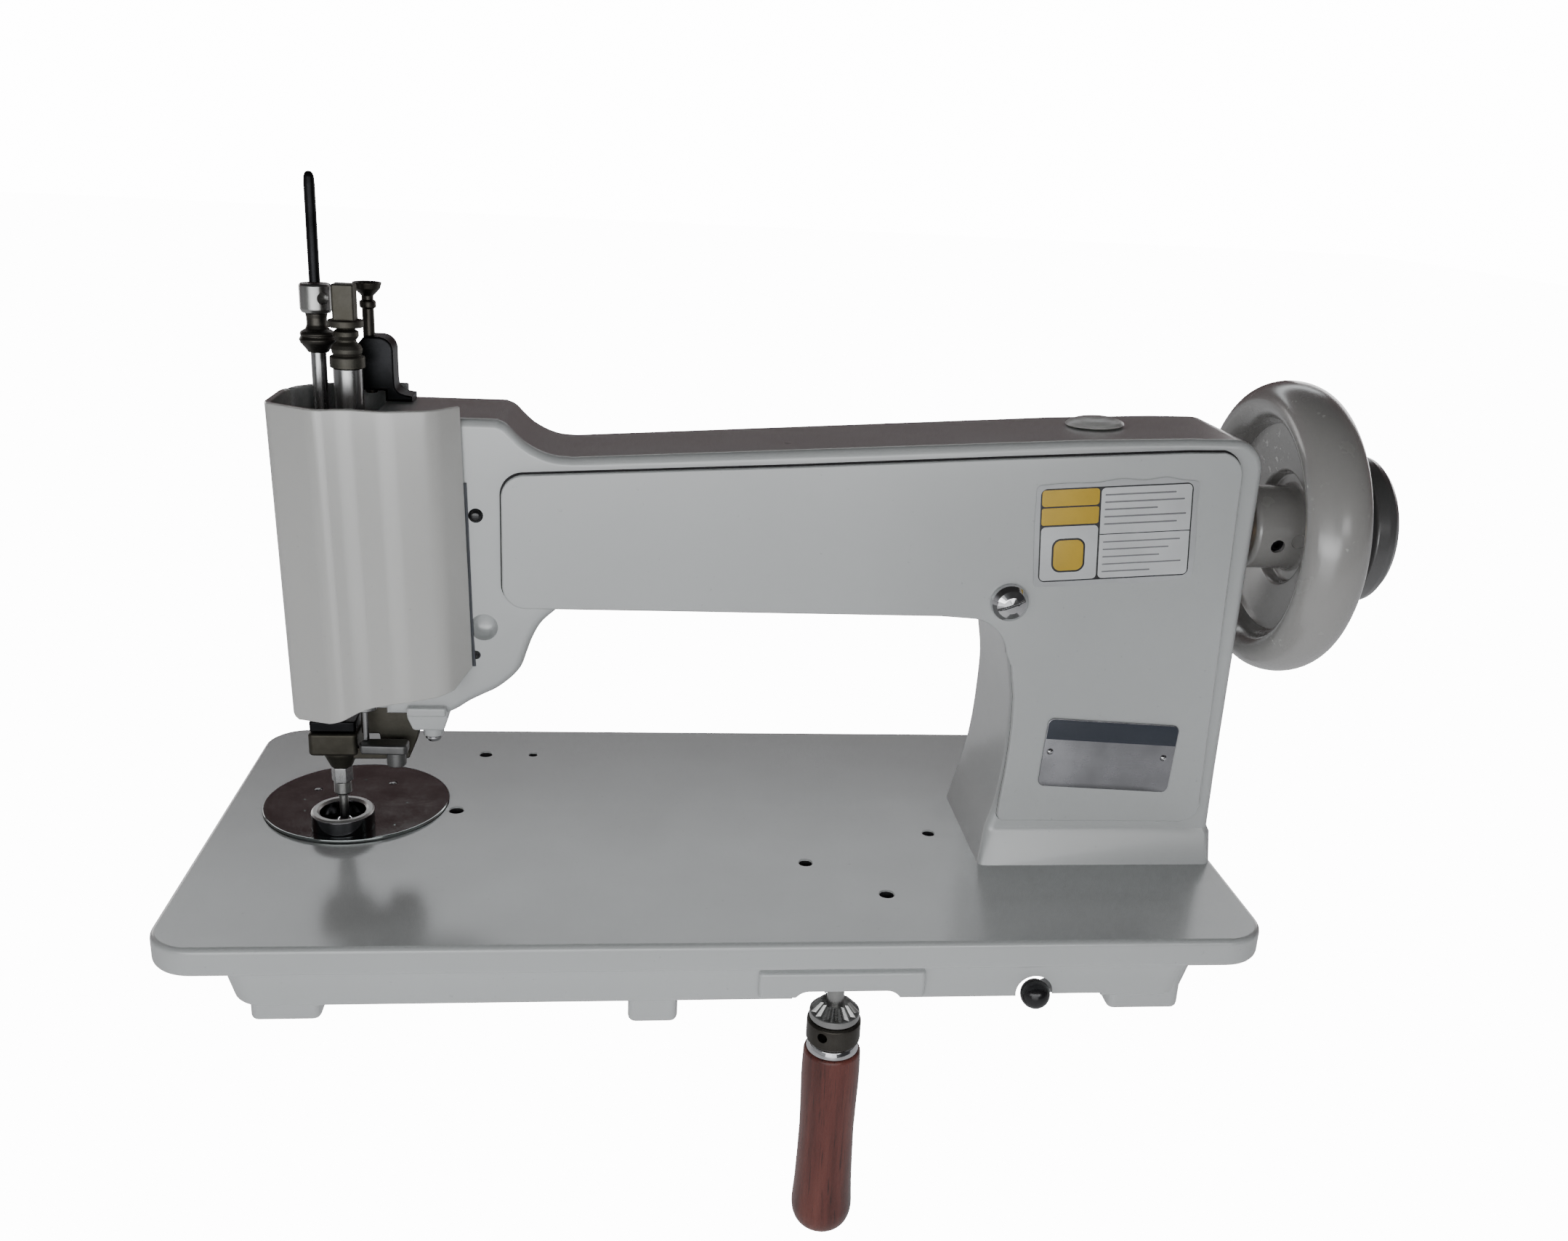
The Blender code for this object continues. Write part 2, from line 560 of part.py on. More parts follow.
# ---- presser and feed foot ---------------------------------------------------------------------------
def make_presser():
    """The presser tube with its top stack, the foot block under it, and the nipple round the needle."""
    at = (PRESSER_X, PRESSER_Y, 0)
    tube = [(0, 233), (6.0, 233), (6.0, 79), (1.4, 79), (1.4, 63.3), (0, 63.3)]
    turned("presser_tube", tube, at, steps=16)
    stack = [(0, 253), (6.9, 253), (7.2, 252.7), (7.2, 250.2), (6.9, 249.9), (3.2, 249.9), (3.8, 248.6),
             (3.8, 245.4), (3.0, 243.6), (5.6, 242.6), (6.4, 241), (5.8, 238.2), (6.8, 238), (7.2, 237.6),
             (7.2, 233.3), (0, 233.3)]
    pile = turned("presser_stack", stack, at, finish=STEEL)
    head = block("presser_head", (PRESSER_X - 4.6, PRESSER_Y - 4.5, 252.5),
                 (PRESSER_X + 4.4, PRESSER_Y + 4.5, 267.6), bevel=0.6, group=CUTTERS)
    carve(pile, head, "UNION")
    outline = [(-166, 87.5), (-164.5, 84), (-145.5, 83), (-143.9, 84.5), (-143.9, 91), (-145.5, 92.5),
               (-164, 92.5)]
    lever = plate("feed_lever", [outline], 58.5, 63.0, finish=DARK_STEEL)
    soften(lever, 0.5, 1)
    screw = rod("feed_lever_screw", 4.4, 52.2, 58.9, (-149.4, 87.6, 0), group=CUTTERS)
    carve(lever, screw, "UNION")
    bar = (NEEDLE_X, AXIS_Y, 0)
    foot = block("foot_block", (-189.5, 90.5, 54.5), (-167.5, 112, 65.5), DARK_STEEL, 1.6)
    cap = block("foot_block_cap", (-188.9, 92.0, 65.8), (-168.1, 111, 71.0), BLACK_STEEL, 0.8)
    drill(cap, "foot_cap_bore", 4.3, 40, 80, bar)
    reach = block("foot_reach", (-170, 92.6, 52.4), (-145.5, 97.0, 57.9), group=CUTTERS)
    carve(foot, reach, "UNION")
    cone = [(0, 56), (8.2, 56), (8.2, 53), (5.4, 46.8), (5.0, 45.7), (0, 45.7)]
    boss = turned("foot_boss", cone, bar, group=CUTTERS)
    carve(foot, boss, "UNION")
    drill(foot, "foot_bore", 4.3, 40, 80, bar)
    hexagon = [(2.3, 45.4), (5.0, 45.4), (5.0, 38.0), (2.3, 38.0)]
    turned("foot_nut", hexagon, bar, finish=CHROME, steps=6, ring=True)
    nipple = [(1.35, 37.7), (4.0, 37.7), (4.0, 32.2), (3.2, 31.2), (2.1, 31.2), (2.1, 17.5), (1.35, 17.5)]
    turned("nipple", nipple, bar, finish=STEEL, ring=True)


def make_head_fittings():
    """What is fixed round the bars: bushings, the black top bracket, its post, and the feed bracket."""
    bar, tube = (NEEDLE_X, AXIS_Y, 0), (PRESSER_X, PRESSER_Y, 0)
    for name, low, high in (("needle_bushing_upper", 195, 210), ("needle_bushing_lower", 80, 95)):
        sleeve(name, 5.0, bore_for(BAR_R), low, high, bar, finish=BRONZE)
    outline = [(-161, 221.5), (-161, 241.5), (-158.5, 244.5), *arc((-152.5, 238.5), 6, 90, 0, 4),
               (-146.3, 224), (-143, 220.2), (-139, 219.4), (-139, 217.1), (-150.4, 217.1), (-150.4, 221.5)]
    bracket = plate("top_bracket", [outline], 103, 117.4, "Y", BLACK_STEEL)
    soften(bracket, 1.0)
    drill(bracket, "post_bore", 2.8, 210, 250, (POST_X, POST_Y, 0))
    cup = [(0, 264.2), (3.6, 265.0), (5.2, 266.8), (6.1, 266.8), (5.6, 264.2), (3.6, 262.4), (2.5, 261.2),
           (2.5, 259.2), (3.4, 258.8), (3.4, 256.4), (2.5, 256), (2.5, 220), (0, 220)]
    turned("tension_post", cup, (POST_X, POST_Y, 0), finish=DARK_STEEL)
    plan = [(-166.6, 81.7), (-147.5, 81.7), (-147.5, 75.5), (-140.0, 66.5), (-141.5, 60), (-145.5, 50.5),
            (-157.5, 50.5), (-158.5, 63), (-166.6, 63)]
    hanger = plate("feed_bracket", [plan], 97.6, 107, "Y", DARK_STEEL)
    soften(hanger, 0.8, 1)
    button = [(0, 1.6), (2.0, 1.4), (2.7, 0.6), (2.7, -6), (0, -6)]
    turned("cover_button", button, (BUTTON_X, FACE_Y, 175.9), "Y", BLACK_PLASTIC, 12)
    bolt = [(0, 68), (3.7, 68), (3.7, 66.7), (2.8, 65.5), (0, 65.1)]
    turned("head_bolt", bolt, (BOSS_X, BOSS_Y, 0), finish=CHROME, steps=12)


# ---- main shaft and handwheel ------------------------------------------------------------------------
def make_main_shaft():
    """The main shaft with its crank, bushings, upper gear, handwheel and belt pulley."""
    line = (0, AXIS_Y, SHAFT_Z)
    shaft = rod("main_shaft", 6.0, -146, 306, line, "X", steps=16)
    bevel_gear(shaft, "upper_gear", (UPRIGHT_X, AXIS_Y, SHAFT_Z), (-1, 0, 0), (8.5, 7))
    sleeve("shaft_bushing_left", 9.7, bore_for(6.0), -114, -92, line, "X", BRONZE)
    sleeve("shaft_bushing_right", 11.7, bore_for(6.0), 220, 240, line, "X", BRONZE)
    disc = [(6.3, -134), (9, -134), (9, -140.5), (14, -140.5), (14, -146.5), (6.3, -146.5)]
    crank = turned("crank_disc", disc, line, "X", STEEL, 16, ring=True)
    pin = rod("crank_pin", 3.0, -155.2, -143, (0, AXIS_Y, CRANK_Z), "X", group=CUTTERS)
    carve(crank, pin, "UNION")
    drill(crank, "shaft_socket", 6.3, -146.2, -130, line, "X", 16)
    low = CRANK_Z - ROD_LENGTH
    eyes = [*arc((AXIS_Y, CRANK_Z), 6.0, -50, 230, 10), *arc((AXIS_Y, low), 5.4, 130, 410, 10)]
    link = plate("connecting_rod", [eyes, circle((AXIS_Y, CRANK_Z), 3.3, 12), circle((AXIS_Y, low), 2.4, 12)],
                 -155.4, -150.6, "X", STEEL)
    soften(link, 0.4, 1)


def make_handwheel():
    """A chunky rim on a dished web and hub, with a set screw, the belt pulley and an end nut."""
    rim = [(WHEEL_RIM_R + 9.8 * math.cos(a), WHEEL_X + 14.5 * math.sin(a))
           for a in [math.radians(90 - 360 * i / 12) for i in range(12)]]
    line = (0, AXIS_Y, SHAFT_Z)
    wheel = turned("handwheel", rim, line, "X", PAINT, 32, ring=True)
    bore = 6.0 + GAP
    hub = [(bore, 273), (24, 273), (31, 269), (52, 265.6), (52, 257.4), (27, 261.4), (25.4, 266), (21, 266),
           (19.6, 262), (19.6, 243), (18, 241.5), (bore, 241.5)]
    web = turned("wheel_web", hub, line, "X", steps=24, ring=True, group=CUTTERS)
    carve(wheel, web, "UNION")
    tilt = math.radians(14)
    hole = rod("wheel_screw_hole", 3.3, 8, 30, (252.5, AXIS_Y, SHAFT_Z), "Y", group=CUTTERS)
    screw = rod("handwheel_screw", 3.0, 9, 17, (252.5, AXIS_Y, SHAFT_Z), "Y", BLACK_STEEL)
    for piece in (hole, screw):
        piece.rotation_euler.x += tilt
    carve(wheel, hole)
    groove = [(bore, 305), (26, 305), (31, 303.4), (34, 300.4), (35, 297), (35, 291.5), (33.8, 290.5),
              (25, 287.5), (25, 284.5), (33.8, 281), (35, 280), (35, 276.8), (33, 275.5), (28, 273.3),
              (bore, 273.3)]
    turned("belt_pulley", groove, line, "X", PULLEY_GREY, 24, ring=True)
    nut = [(0, 313), (7, 313), (8.5, 311.5), (8.5, 306.3), (0, 306.3)]
    turned("pulley_nut", nut, line, "X", STEEL, 6)


# ---- under the bed --------------------------------------------------------------------------------------
def make_lower_drive():
    """The upright shaft in the column and the looper drive shaft under the bed."""
    top, low = (UPRIGHT_X, AXIS_Y, SHAFT_Z), (UPRIGHT_X, AXIS_Y, LOWER_Z)
    upright = rod("upright_shaft", 4.5, LOWER_Z + 6.5, SHAFT_Z - 7.5, (UPRIGHT_X, AXIS_Y, 0), finish=STEEL)
    bevel_gear(upright, "upright_gear_top", top, (0, 0, -1))
    bevel_gear(upright, "upright_gear_low", low, (0, 0, 1))
    line = (0, AXIS_Y, LOWER_Z)
    lower = rod("lower_shaft", 4.5, -161, UPRIGHT_X - 6.5, line, "X")
    bevel_gear(lower, "lower_gear", low, (-1, 0, 0))
    carve(lower, rod("looper_cam", 8.0, -160, -150, line, "X", group=CUTTERS), "UNION")
    make_hanger("lower_bearing", (20, AXIS_Y), LOWER_Z, 4.5, 8.0, "X", 26)


def make_hanger(name, place_xy, axis_z, shaft_r, radius, axis, width, window=()):
    """A bearing hung from the bed's underside, bored for a horizontal shaft.

    window is a further hole round another shaft that passes above, as (height, radius).
    """
    x, y = place_xy
    along, across = (x, y) if axis == "X" else (y, x)
    wide = radius + 6
    ear = [*arc((across, axis_z), radius, -180, 0, 8), (across + radius, -6), (across + wide, -5),
           (across + wide, -GAP), (across - wide, -GAP), (across - wide, -5), (across - radius, -6)]
    bored = [ear, circle((across, axis_z), bore_for(shaft_r))]
    if window:
        bored.append(circle((across, window[0]), window[1]))
    return plate(name, bored, along - width / 2, along + width / 2, axis, PAINT)


def make_looper():
    """The turning looper tube on the needle axis, its gear, and the bridge that carries it."""
    bridge = block("looper_bridge", (-193, 68, -6), (-161, 184, -GAP), PAINT, 1.0)
    boss = rod("looper_boss", 10.3, -10, 9, (NEEDLE_X, AXIS_Y, 0), steps=16, group=CUTTERS)
    carve(bridge, boss, "UNION")
    drill(bridge, "looper_bore", bore_for(6.0, 16), -20, 20, (NEEDLE_X, AXIS_Y, 0), steps=16)
    tube = [(2.4, 18.0), (3.4, 18.0), (4.6, 15.5), (4.6, 10.5), (6.0, 9.8), (6.0, -29), (2.4, -29)]
    looper = turned("looper_tube", tube, (NEEDLE_X, AXIS_Y, 0), finish=CHROME, ring=True)
    bevel_gear(looper, "looper_gear", (NEEDLE_X, AXIS_Y, GUIDE_Z), (0, 0, 1), (8.5, 4))
    drill(looper, "thread_way", 2.4, -40, 0, (NEEDLE_X, AXIS_Y, 0), steps=16)


def make_steering():
    """The handle with its crown gear, and the two direction shafts that turn the looper with it."""
    axis = (STEER_X, STEER_Y, 0)
    post = sleeve("steering_bearing", 9.0, bore_for(4.0), -24, -GAP, axis, finish=PAINT)
    flange = rod("bearing_flange", 17, -6, -GAP, axis, group=CUTTERS)
    carve(post, flange, "UNION")
    drill(post, "bearing_bore", bore_for(4.0, 12), -30, 2, axis, steps=12)
    shaft = rod("steering_shaft", 4.0, -76, -1.0, axis, finish=STEEL)
    bevel_gear(shaft, "steering_gear", (STEER_X, STEER_Y, GUIDE_Z), (0, 0, -1), (11.7, 3.6))
    top = GUIDE_Z - GEAR_R - 3.6 - GAP
    bore = 4.0 + GAP
    collar = [(bore, top), (11.6, top), (12.6, top - 1), (12.6, top - 10.4), (11.8, top - 11.4),
              (bore, top - 11.4)]
    steering_collar = turned("steering_collar", collar, axis, finish=STEEL, ring=True)
    hole = rod("steering_screw_hole", 2.4, 6.6, 20, (STEER_X, STEER_Y, top - 4.6), "Y", group=CUTTERS)
    hole.rotation_euler.z = math.radians(-32)
    carve(steering_collar, hole)
    cap_top = top - 11.4 - GAP
    ferrule = [(bore, cap_top), (10.2, cap_top), (11.0, cap_top - 0.8), (11.6, cap_top - 4.2),
               (bore, cap_top - 4.2)]
    turned("handle_ferrule", ferrule, axis, finish=CHROME, ring=True)
    wood_top = cap_top - 4.2 - GAP
    grip = [(0, wood_top - 20), (bore, wood_top - 20), (bore, wood_top), (12.6, wood_top),
            (13.3, wood_top - 1.2), (13.6, wood_top - 18), (13.0, wood_top - 45), (13.8, wood_top - 75),
            (14.6, wood_top - 88), (13.0, wood_top - 95.5), (8.0, wood_top - 99.6), (0, wood_top - 100)]
    turned("wooden_handle", grip, axis, finish=WOOD, steps=20)
    corner = (STEER_X, AXIS_Y, GUIDE_Z)
    cross = rod("cross_shaft", 3.5, -AXIS_Y + 5.5, -STEER_Y - 5.5, (STEER_X, 0, GUIDE_Z), "Y", STEEL)
    bevel_gear(cross, "cross_gear_front", (STEER_X, STEER_Y, GUIDE_Z), (0, 1, 0))
    bevel_gear(cross, "cross_gear_back", corner, (0, -1, 0))
    guide = rod("direction_shaft", 3.5, NEEDLE_X + 5.5, STEER_X - 5.5, (0, AXIS_Y, GUIDE_Z), "X", STEEL)
    bevel_gear(guide, "direction_gear_right", corner, (-1, 0, 0))
    bevel_gear(guide, "direction_gear_left", (NEEDLE_X, AXIS_Y, GUIDE_Z), (1, 0, 0))
    make_hanger("cross_bearing", (STEER_X, 67), GUIDE_Z, 3.5, 7.5, "Y", 12)
    make_hanger("direction_bearing", (-70, AXIS_Y), GUIDE_Z, 3.5, 9.5, "X", 14, (LOWER_Z, 6.0))


def make_selector():
    """The small lever under the front of the bed: a flat bar on a pivot screw, with a ball knob."""
    bar = plate("selector_lever", [[*arc((160, 22), 6, -70, 110, 8),
                                    *arc((141, 13.7), 3.2, 120, 270, 4)]], -24, -21)
    drill(bar, "selector_bore", bore_for(3.0, 10), -40, 0, (160, 22, 0))
    pivot = [(0, -GAP), (8, -GAP), (8, -5), (5, -6), (5, -20.6), (3.0, -20.6), (3.0, -24.6), (5, -24.6),
             (5, -27), (0, -27)]
    turned("selector_pivot", pivot, (160, 22, 0), finish=DARK_STEEL)
    ball = [(6.6 * math.sin(a), 6.6 * math.cos(a)) for a in [math.pi * i / 8 for i in range(9)]]
    turned("selector_knob", [(0, 6.6), *ball[1:-1], (0, -6.6)], (137, 4.6, -19.2), finish=BLACK_PLASTIC)


def main():
    make_bed()
    make_arm()
    make_panel()
    make_oil_cap()
    make_cover()
    make_throat()
    make_needle_bar()
    make_presser()
    make_head_fittings()
    make_main_shaft()
    make_handwheel()
    make_lower_drive()
    make_looper()
    make_steering()
    make_selector()


main()
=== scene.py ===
"""Looks of a chain-stitch sewing machine head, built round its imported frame.

Lengths are in millimetres in the frame's own axes and become metres where a mesh is made: X runs along
the bed to the handwheel, Y from the operator to the back, Z up, with Z = 0 under the bed's rim.
"""
import json
import math

import bmesh
import bpy
from mathutils import Matrix, Quaternion, Vector


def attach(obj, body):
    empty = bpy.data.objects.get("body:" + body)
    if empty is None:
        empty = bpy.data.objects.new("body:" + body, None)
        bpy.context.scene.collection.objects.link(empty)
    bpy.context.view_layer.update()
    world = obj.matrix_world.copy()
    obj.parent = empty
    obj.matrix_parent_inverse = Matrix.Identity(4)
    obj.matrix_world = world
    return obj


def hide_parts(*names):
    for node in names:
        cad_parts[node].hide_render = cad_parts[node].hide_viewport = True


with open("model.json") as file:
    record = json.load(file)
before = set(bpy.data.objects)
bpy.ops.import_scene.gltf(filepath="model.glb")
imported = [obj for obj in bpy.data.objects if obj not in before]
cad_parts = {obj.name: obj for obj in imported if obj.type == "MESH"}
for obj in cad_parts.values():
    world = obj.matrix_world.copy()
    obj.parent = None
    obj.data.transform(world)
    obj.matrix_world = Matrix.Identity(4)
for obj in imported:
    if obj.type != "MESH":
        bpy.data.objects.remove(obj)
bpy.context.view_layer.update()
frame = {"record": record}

MM = 0.001

BODY_OF = {node: body for body, nodes in frame["record"]["behaviour"]["bodies"].items() for node in nodes}

# ---- places shared by several pieces -------------------------------------------------------------------
FACE_Y = 69.0        # front face of the arm and the column
AXIS_Y = 101.0       # plane of the main shaft and the needle
SHAFT_Z = 171.4
NEEDLE = (-177.0, AXIS_Y, 0.0)
PRESSER = (-163.0, 90.0, 0.0)
POST = (-157.0, 108.0, 0.0)
STEER = (53.0, 34.0, 0.0)
PLATE = (-176.4, 128.1, 0.0)
BED_TOP = 13.0
SHAFT_LINE = (0.0, AXIS_Y, SHAFT_Z)
UPRIGHT_X = 183.0
LOWER_Z = -14.0
GUIDE_Z = -34.0
GEAR_R = 11.7


# ---- materials: every one is a node graph on a Principled shader ---------------------------------------
class Graph:
    """Adds nodes to a node tree and links them."""

    def __init__(self, tree):
        self.tree = tree

    def node(self, kind):
        return self.tree.nodes.new("ShaderNode" + kind)

    def link(self, source, target):
        self.tree.links.new(source, target)

    def feed(self, socket, value):
        """Give a socket a number, a colour or another node's output."""
        if isinstance(value, bpy.types.NodeSocket):
            self.link(value, socket)
        else:
            socket.default_value = (*value, 1.0) if isinstance(value, tuple) else value

    def span(self, source, low, high, start=0.0, end=1.0, interpolation="LINEAR"):
        """Map a value's range start..end to low..high."""
        node = self.node("MapRange")
        node.interpolation_type = interpolation
        values = (start, end, low, high)
        for socket, value in zip(("From Min", "From Max", "To Min", "To Max"), values):
            node.inputs[socket].default_value = value
        self.link(source, node.inputs["Value"])
        return node.outputs["Result"]

    def math(self, operation, a, b):
        node = self.node("Math")
        node.operation = operation
        self.feed(node.inputs[0], a)
        self.feed(node.inputs[1], b)
        return node.outputs["Value"]

    def mix(self, factor, a, b):
        """Blend two colours; each is a colour or another node's output."""
        node = self.node("Mix")
        node.data_type = "RGBA"
        self.link(factor, node.inputs["Factor"])
        colours = [s for s in node.inputs if s.type == "RGBA"]
        for socket, value in zip(colours, (a, b)):
            self.feed(socket, value)
        return [s for s in node.outputs if s.type == "RGBA"][0]


class Look(Graph):
    """A small builder for one procedural material."""

    def __init__(self, name, **sockets):
        self.material = bpy.data.materials.new(name)
        self.material.use_nodes = True
        super().__init__(self.material.node_tree)
        self.shader = self.tree.nodes["Principled BSDF"]
        self.place = self.node("TexCoord").outputs["Object"]
        for socket, value in sockets.items():
            self.shader.inputs[socket.replace("_", " ")].default_value = value

    def noise(self, scale, detail=3.0, stretch=(1, 1, 1), rough=0.5):
        """Noise over the object: scale is per metre, and a small stretch draws it out along that axis."""
        mapping = self.node("Mapping")
        mapping.inputs["Scale"].default_value = stretch
        self.link(self.place, mapping.inputs["Vector"])
        node = self.node("TexNoise")
        node.inputs["Scale"].default_value = scale
        node.inputs["Detail"].default_value = detail
        node.inputs["Roughness"].default_value = rough
        self.link(mapping.outputs["Vector"], node.inputs["Vector"])
        return node.outputs["Fac"]

    def ramp(self, source, stops):
        """Map a value to colours: stops are (position, colour)."""
        node = self.node("ValToRGB")
        elements = node.color_ramp.elements
        while len(elements) < len(stops):
            elements.new(0.5)
        for element, (position, colour) in zip(elements, stops):
            element.position = position
            element.color = (*colour, 1.0)
        self.link(source, node.inputs["Fac"])
        return node.outputs["Color"]

    def bump(self, height, strength, distance):
        """Add a bump of the given depth in metres on top of any earlier one."""
        node = self.node("Bump")
        node.inputs["Strength"].default_value = strength
        node.inputs["Distance"].default_value = distance
        self.link(height, node.inputs["Height"])
        normal = self.shader.inputs["Normal"]
        if normal.is_linked:
            self.link(normal.links[0].from_socket, node.inputs["Normal"])
        self.link(node.outputs["Normal"], normal)

    def set(self, socket, source):
        self.link(source, self.shader.inputs[socket])


def shade(colour, factor):
    return tuple(min(1.0, c * factor) for c in colour)


def enamel(name, colour, roughness=0.3, glints=None):
    """Gloss enamel on cast iron: faint orange peel, a wavy casting under it, soft handling marks, and
    optional bright specks that are painted glints.
    """
    look = Look(name, Coat_Weight=1.0, Coat_IOR=1.55, Coat_Roughness=0.2, Specular_IOR_Level=0.5)
    cloud = look.noise(9.0, 4.0)
    specks = look.noise(420.0, 2.0)
    base = look.ramp(cloud, [(0.3, shade(colour, 0.955)), (0.7, shade(colour, 1.03))])
    grime = look.span(specks, 0.0, 0.5, 0.72, 0.8)
    base = look.mix(grime, base, shade(colour, 0.72))
    # optional painted glints: bright specks mixed into the base colour
    if glints:
        base = look.mix(glints(look), base, (0.78, 0.78, 0.76))
    look.set("Base Color", base)
    look.set("Roughness", look.span(look.noise(26.0, 5.0), roughness - 0.07, roughness + 0.1))
    look.bump(look.noise(34.0, 2.0), 0.16, 0.0012)
    look.bump(look.noise(520.0, 2.0), 0.07, 0.0003)
    return look.material


def metal(name, colour, roughness, spread=0.1, lay=(1, 1, 1), grain=0.12, stain=None):
    """Worked metal: the lay of the tool marks, patchy roughness, and a stain where oil has dried."""
    look = Look(name, Metallic=1.0)
    patches = look.noise(60.0, 5.0)
    stops = [(0.32, stain or shade(colour, 0.78)), (0.68, shade(colour, 1.08))]
    look.set("Base Color", look.ramp(patches, stops))
    marks = look.noise(900.0, 3.0, lay)
    rough = look.math("ADD", look.span(patches, roughness - spread / 2, roughness + spread),
                      look.span(marks, -0.04, 0.04))
    look.set("Roughness", rough)
    look.bump(marks, grain, 0.00012)
    return look.material


def plastic(name, colour, roughness):
    """Moulded plastic with a fine texture and slight blooming."""
    look = Look(name, Specular_IOR_Level=0.5)
    look.set("Base Color", look.ramp(look.noise(40.0, 4.0),
                                     [(0.3, shade(colour, 0.9)), (0.7, shade(colour, 1.08))]))
    look.set("Roughness", look.span(look.noise(120.0, 3.0), roughness - 0.06, roughness + 0.08))
    look.bump(look.noise(1500.0, 2.0), 0.08, 0.0001)
    return look.material


def varnished_wood(name):
    """Turned red-brown wood: long grain up the handle, dark pores, worn varnish."""
    look = Look(name, Coat_Weight=0.3, Coat_Roughness=0.3, Specular_IOR_Level=0.35)
    grain = look.noise(130.0, 6.0, (1, 1, 0.06), 0.62)
    pores = look.noise(1100.0, 2.0, (1, 1, 0.035))
    bands = look.noise(22.0, 3.0, (1, 1, 0.4))
    base = look.ramp(grain, [(0.28, (0.05, 0.012, 0.009)), (0.5, (0.13, 0.034, 0.026)),
                             (0.74, (0.2, 0.06, 0.045))])
    base = look.mix(look.span(pores, 0.0, 0.8, 0.6, 0.72), base, (0.03, 0.01, 0.008))
    base = look.mix(look.span(bands, 0.0, 0.3, 0.5, 0.75), base, (0.22, 0.07, 0.055))
    look.set("Base Color", base)
    look.set("Roughness", look.span(grain, 0.28, 0.5))
    look.bump(pores, 0.25, 0.0002)
    look.bump(grain, 0.12, 0.0004)
    return look.material


def rim_glints(look):
    """Bright specks painted into the handwheel rim's colour: painted glints that stand in for the rim's
    sparkling highlights.
    """
    glint_specks = look.span(look.noise(330.0, 4.0), 0.0, 1.0, 0.6, 0.66)
    zone = look.span(look.noise(28.0, 2.0), 0.0, 1.0, 0.56, 0.66)
    return look.math("MULTIPLY", glint_specks, zone)


CREAM = enamel("cream_enamel", (0.545, 0.56, 0.56))
COVER_CREAM = enamel("cover_enamel", (0.6, 0.595, 0.575), 0.34)
# the handwheel's enamel is a darker copy of the cream, darkened to stand for the dimmer light on the wheel:
# painted shade
WHEEL_CREAM = enamel("wheel_enamel", (0.37, 0.36, 0.35), 0.24, rim_glints)
PULLEY_GREY = enamel("pulley_enamel", (0.095, 0.093, 0.094), 0.42)
BLACKED = metal("blacked_steel", (0.028, 0.028, 0.03), 0.36, stain=(0.014, 0.014, 0.015))
GUNMETAL = metal("gunmetal", (0.085, 0.08, 0.072), 0.38, stain=(0.05, 0.045, 0.038))
OLIVE_IRON = metal("olive_iron", (0.1, 0.095, 0.08), 0.5, 0.14, grain=0.3, stain=(0.06, 0.056, 0.045))
BAR_GREY = metal("bar_grey", (0.2, 0.2, 0.2), 0.42, 0.12, grain=0.2, stain=(0.14, 0.14, 0.14))
DULL_IRON = metal("dull_iron", (0.13, 0.125, 0.11), 0.5, 0.14, grain=0.3, stain=(0.08, 0.075, 0.06))
GROUND = metal("ground_steel", (0.42, 0.42, 0.42), 0.24, 0.1, (1, 1, 0.05))
TURNED_X = metal("turned_steel_x", (0.36, 0.36, 0.36), 0.26, 0.1, (0.05, 1, 1))
TURNED = metal("turned_steel", (0.4, 0.4, 0.39), 0.28, 0.12, (0.08, 0.08, 2.5), 0.2)
CHROME = metal("chrome_plate", (0.62, 0.62, 0.63), 0.07, 0.05, grain=0.02, stain=(0.56, 0.56, 0.57))
MIRROR_PLATE = metal("needle_plate_chrome", (0.42, 0.46, 0.45), 0.06, 0.05, grain=0.02,
                     stain=(0.35, 0.38, 0.37))
DARK_STEEL_AND_SHADE = metal("dark_steel_and_shade", (0.1, 0.1, 0.105), 0.12, 0.06, grain=0.03, stain=(0.07, 0.07, 0.075))
SATIN = metal("satin_steel", (0.52, 0.52, 0.51), 0.4, 0.1, grain=0.08, stain=(0.46, 0.46, 0.45))
BRONZE = metal("bronze", (0.5, 0.33, 0.15), 0.32, 0.12, (0.1, 0.1, 2.0), 0.2, (0.36, 0.21, 0.09))
PLATE_METAL = metal("satin_aluminium", (0.4, 0.4, 0.42), 0.22, 0.16, (0.04, 1, 1), 0.06)
WHITE_PLASTIC = plastic("white_plastic", (0.74, 0.74, 0.72), 0.3)
BLACK_PLASTIC = plastic("black_plastic", (0.012, 0.012, 0.013), 0.2)
WOOD = varnished_wood("stained_wood")
BAND_BLUE = plastic("band_ink", (0.035, 0.042, 0.058), 0.35)
FILM_YELLOW = plastic("yellow_film", (0.62, 0.4, 0.035), 0.42)
FILM_WHITE = plastic("white_film", (0.66, 0.67, 0.68), 0.42)
FILM_BACK = plastic("backing_film", (0.5, 0.51, 0.52), 0.5)
FILM_BLACK = plastic("black_ink", (0.02, 0.02, 0.022), 0.45)
FILM_GREY = plastic("grey_ink", (0.2, 0.2, 0.21), 0.45)
# painted shadow: the dark strip in the gap beside the face cover's right edge
COVER_GAP_SHADE = plastic("cover_gap_shade", (0.07, 0.075, 0.09), 0.6)
# painted shade: near-black for the insides of holes and the line round the side panel
PAINTED_SHADE = plastic("shadow_gap", (0.02, 0.02, 0.021), 0.7)


# ---- outlines ------------------------------------------------------------------------------------------
def arc(centre, radius, start, end, steps=10):
    """Points on an arc, angles in degrees."""
    angles = [math.radians(start + (end - start) * i / steps) for i in range(steps + 1)]
    return [(centre[0] + radius * math.cos(a), centre[1] + radius * math.sin(a)) for a in angles]


def circle(centre, radius, steps=48):
    return arc(centre, radius, 0, 360, steps)[:-1]


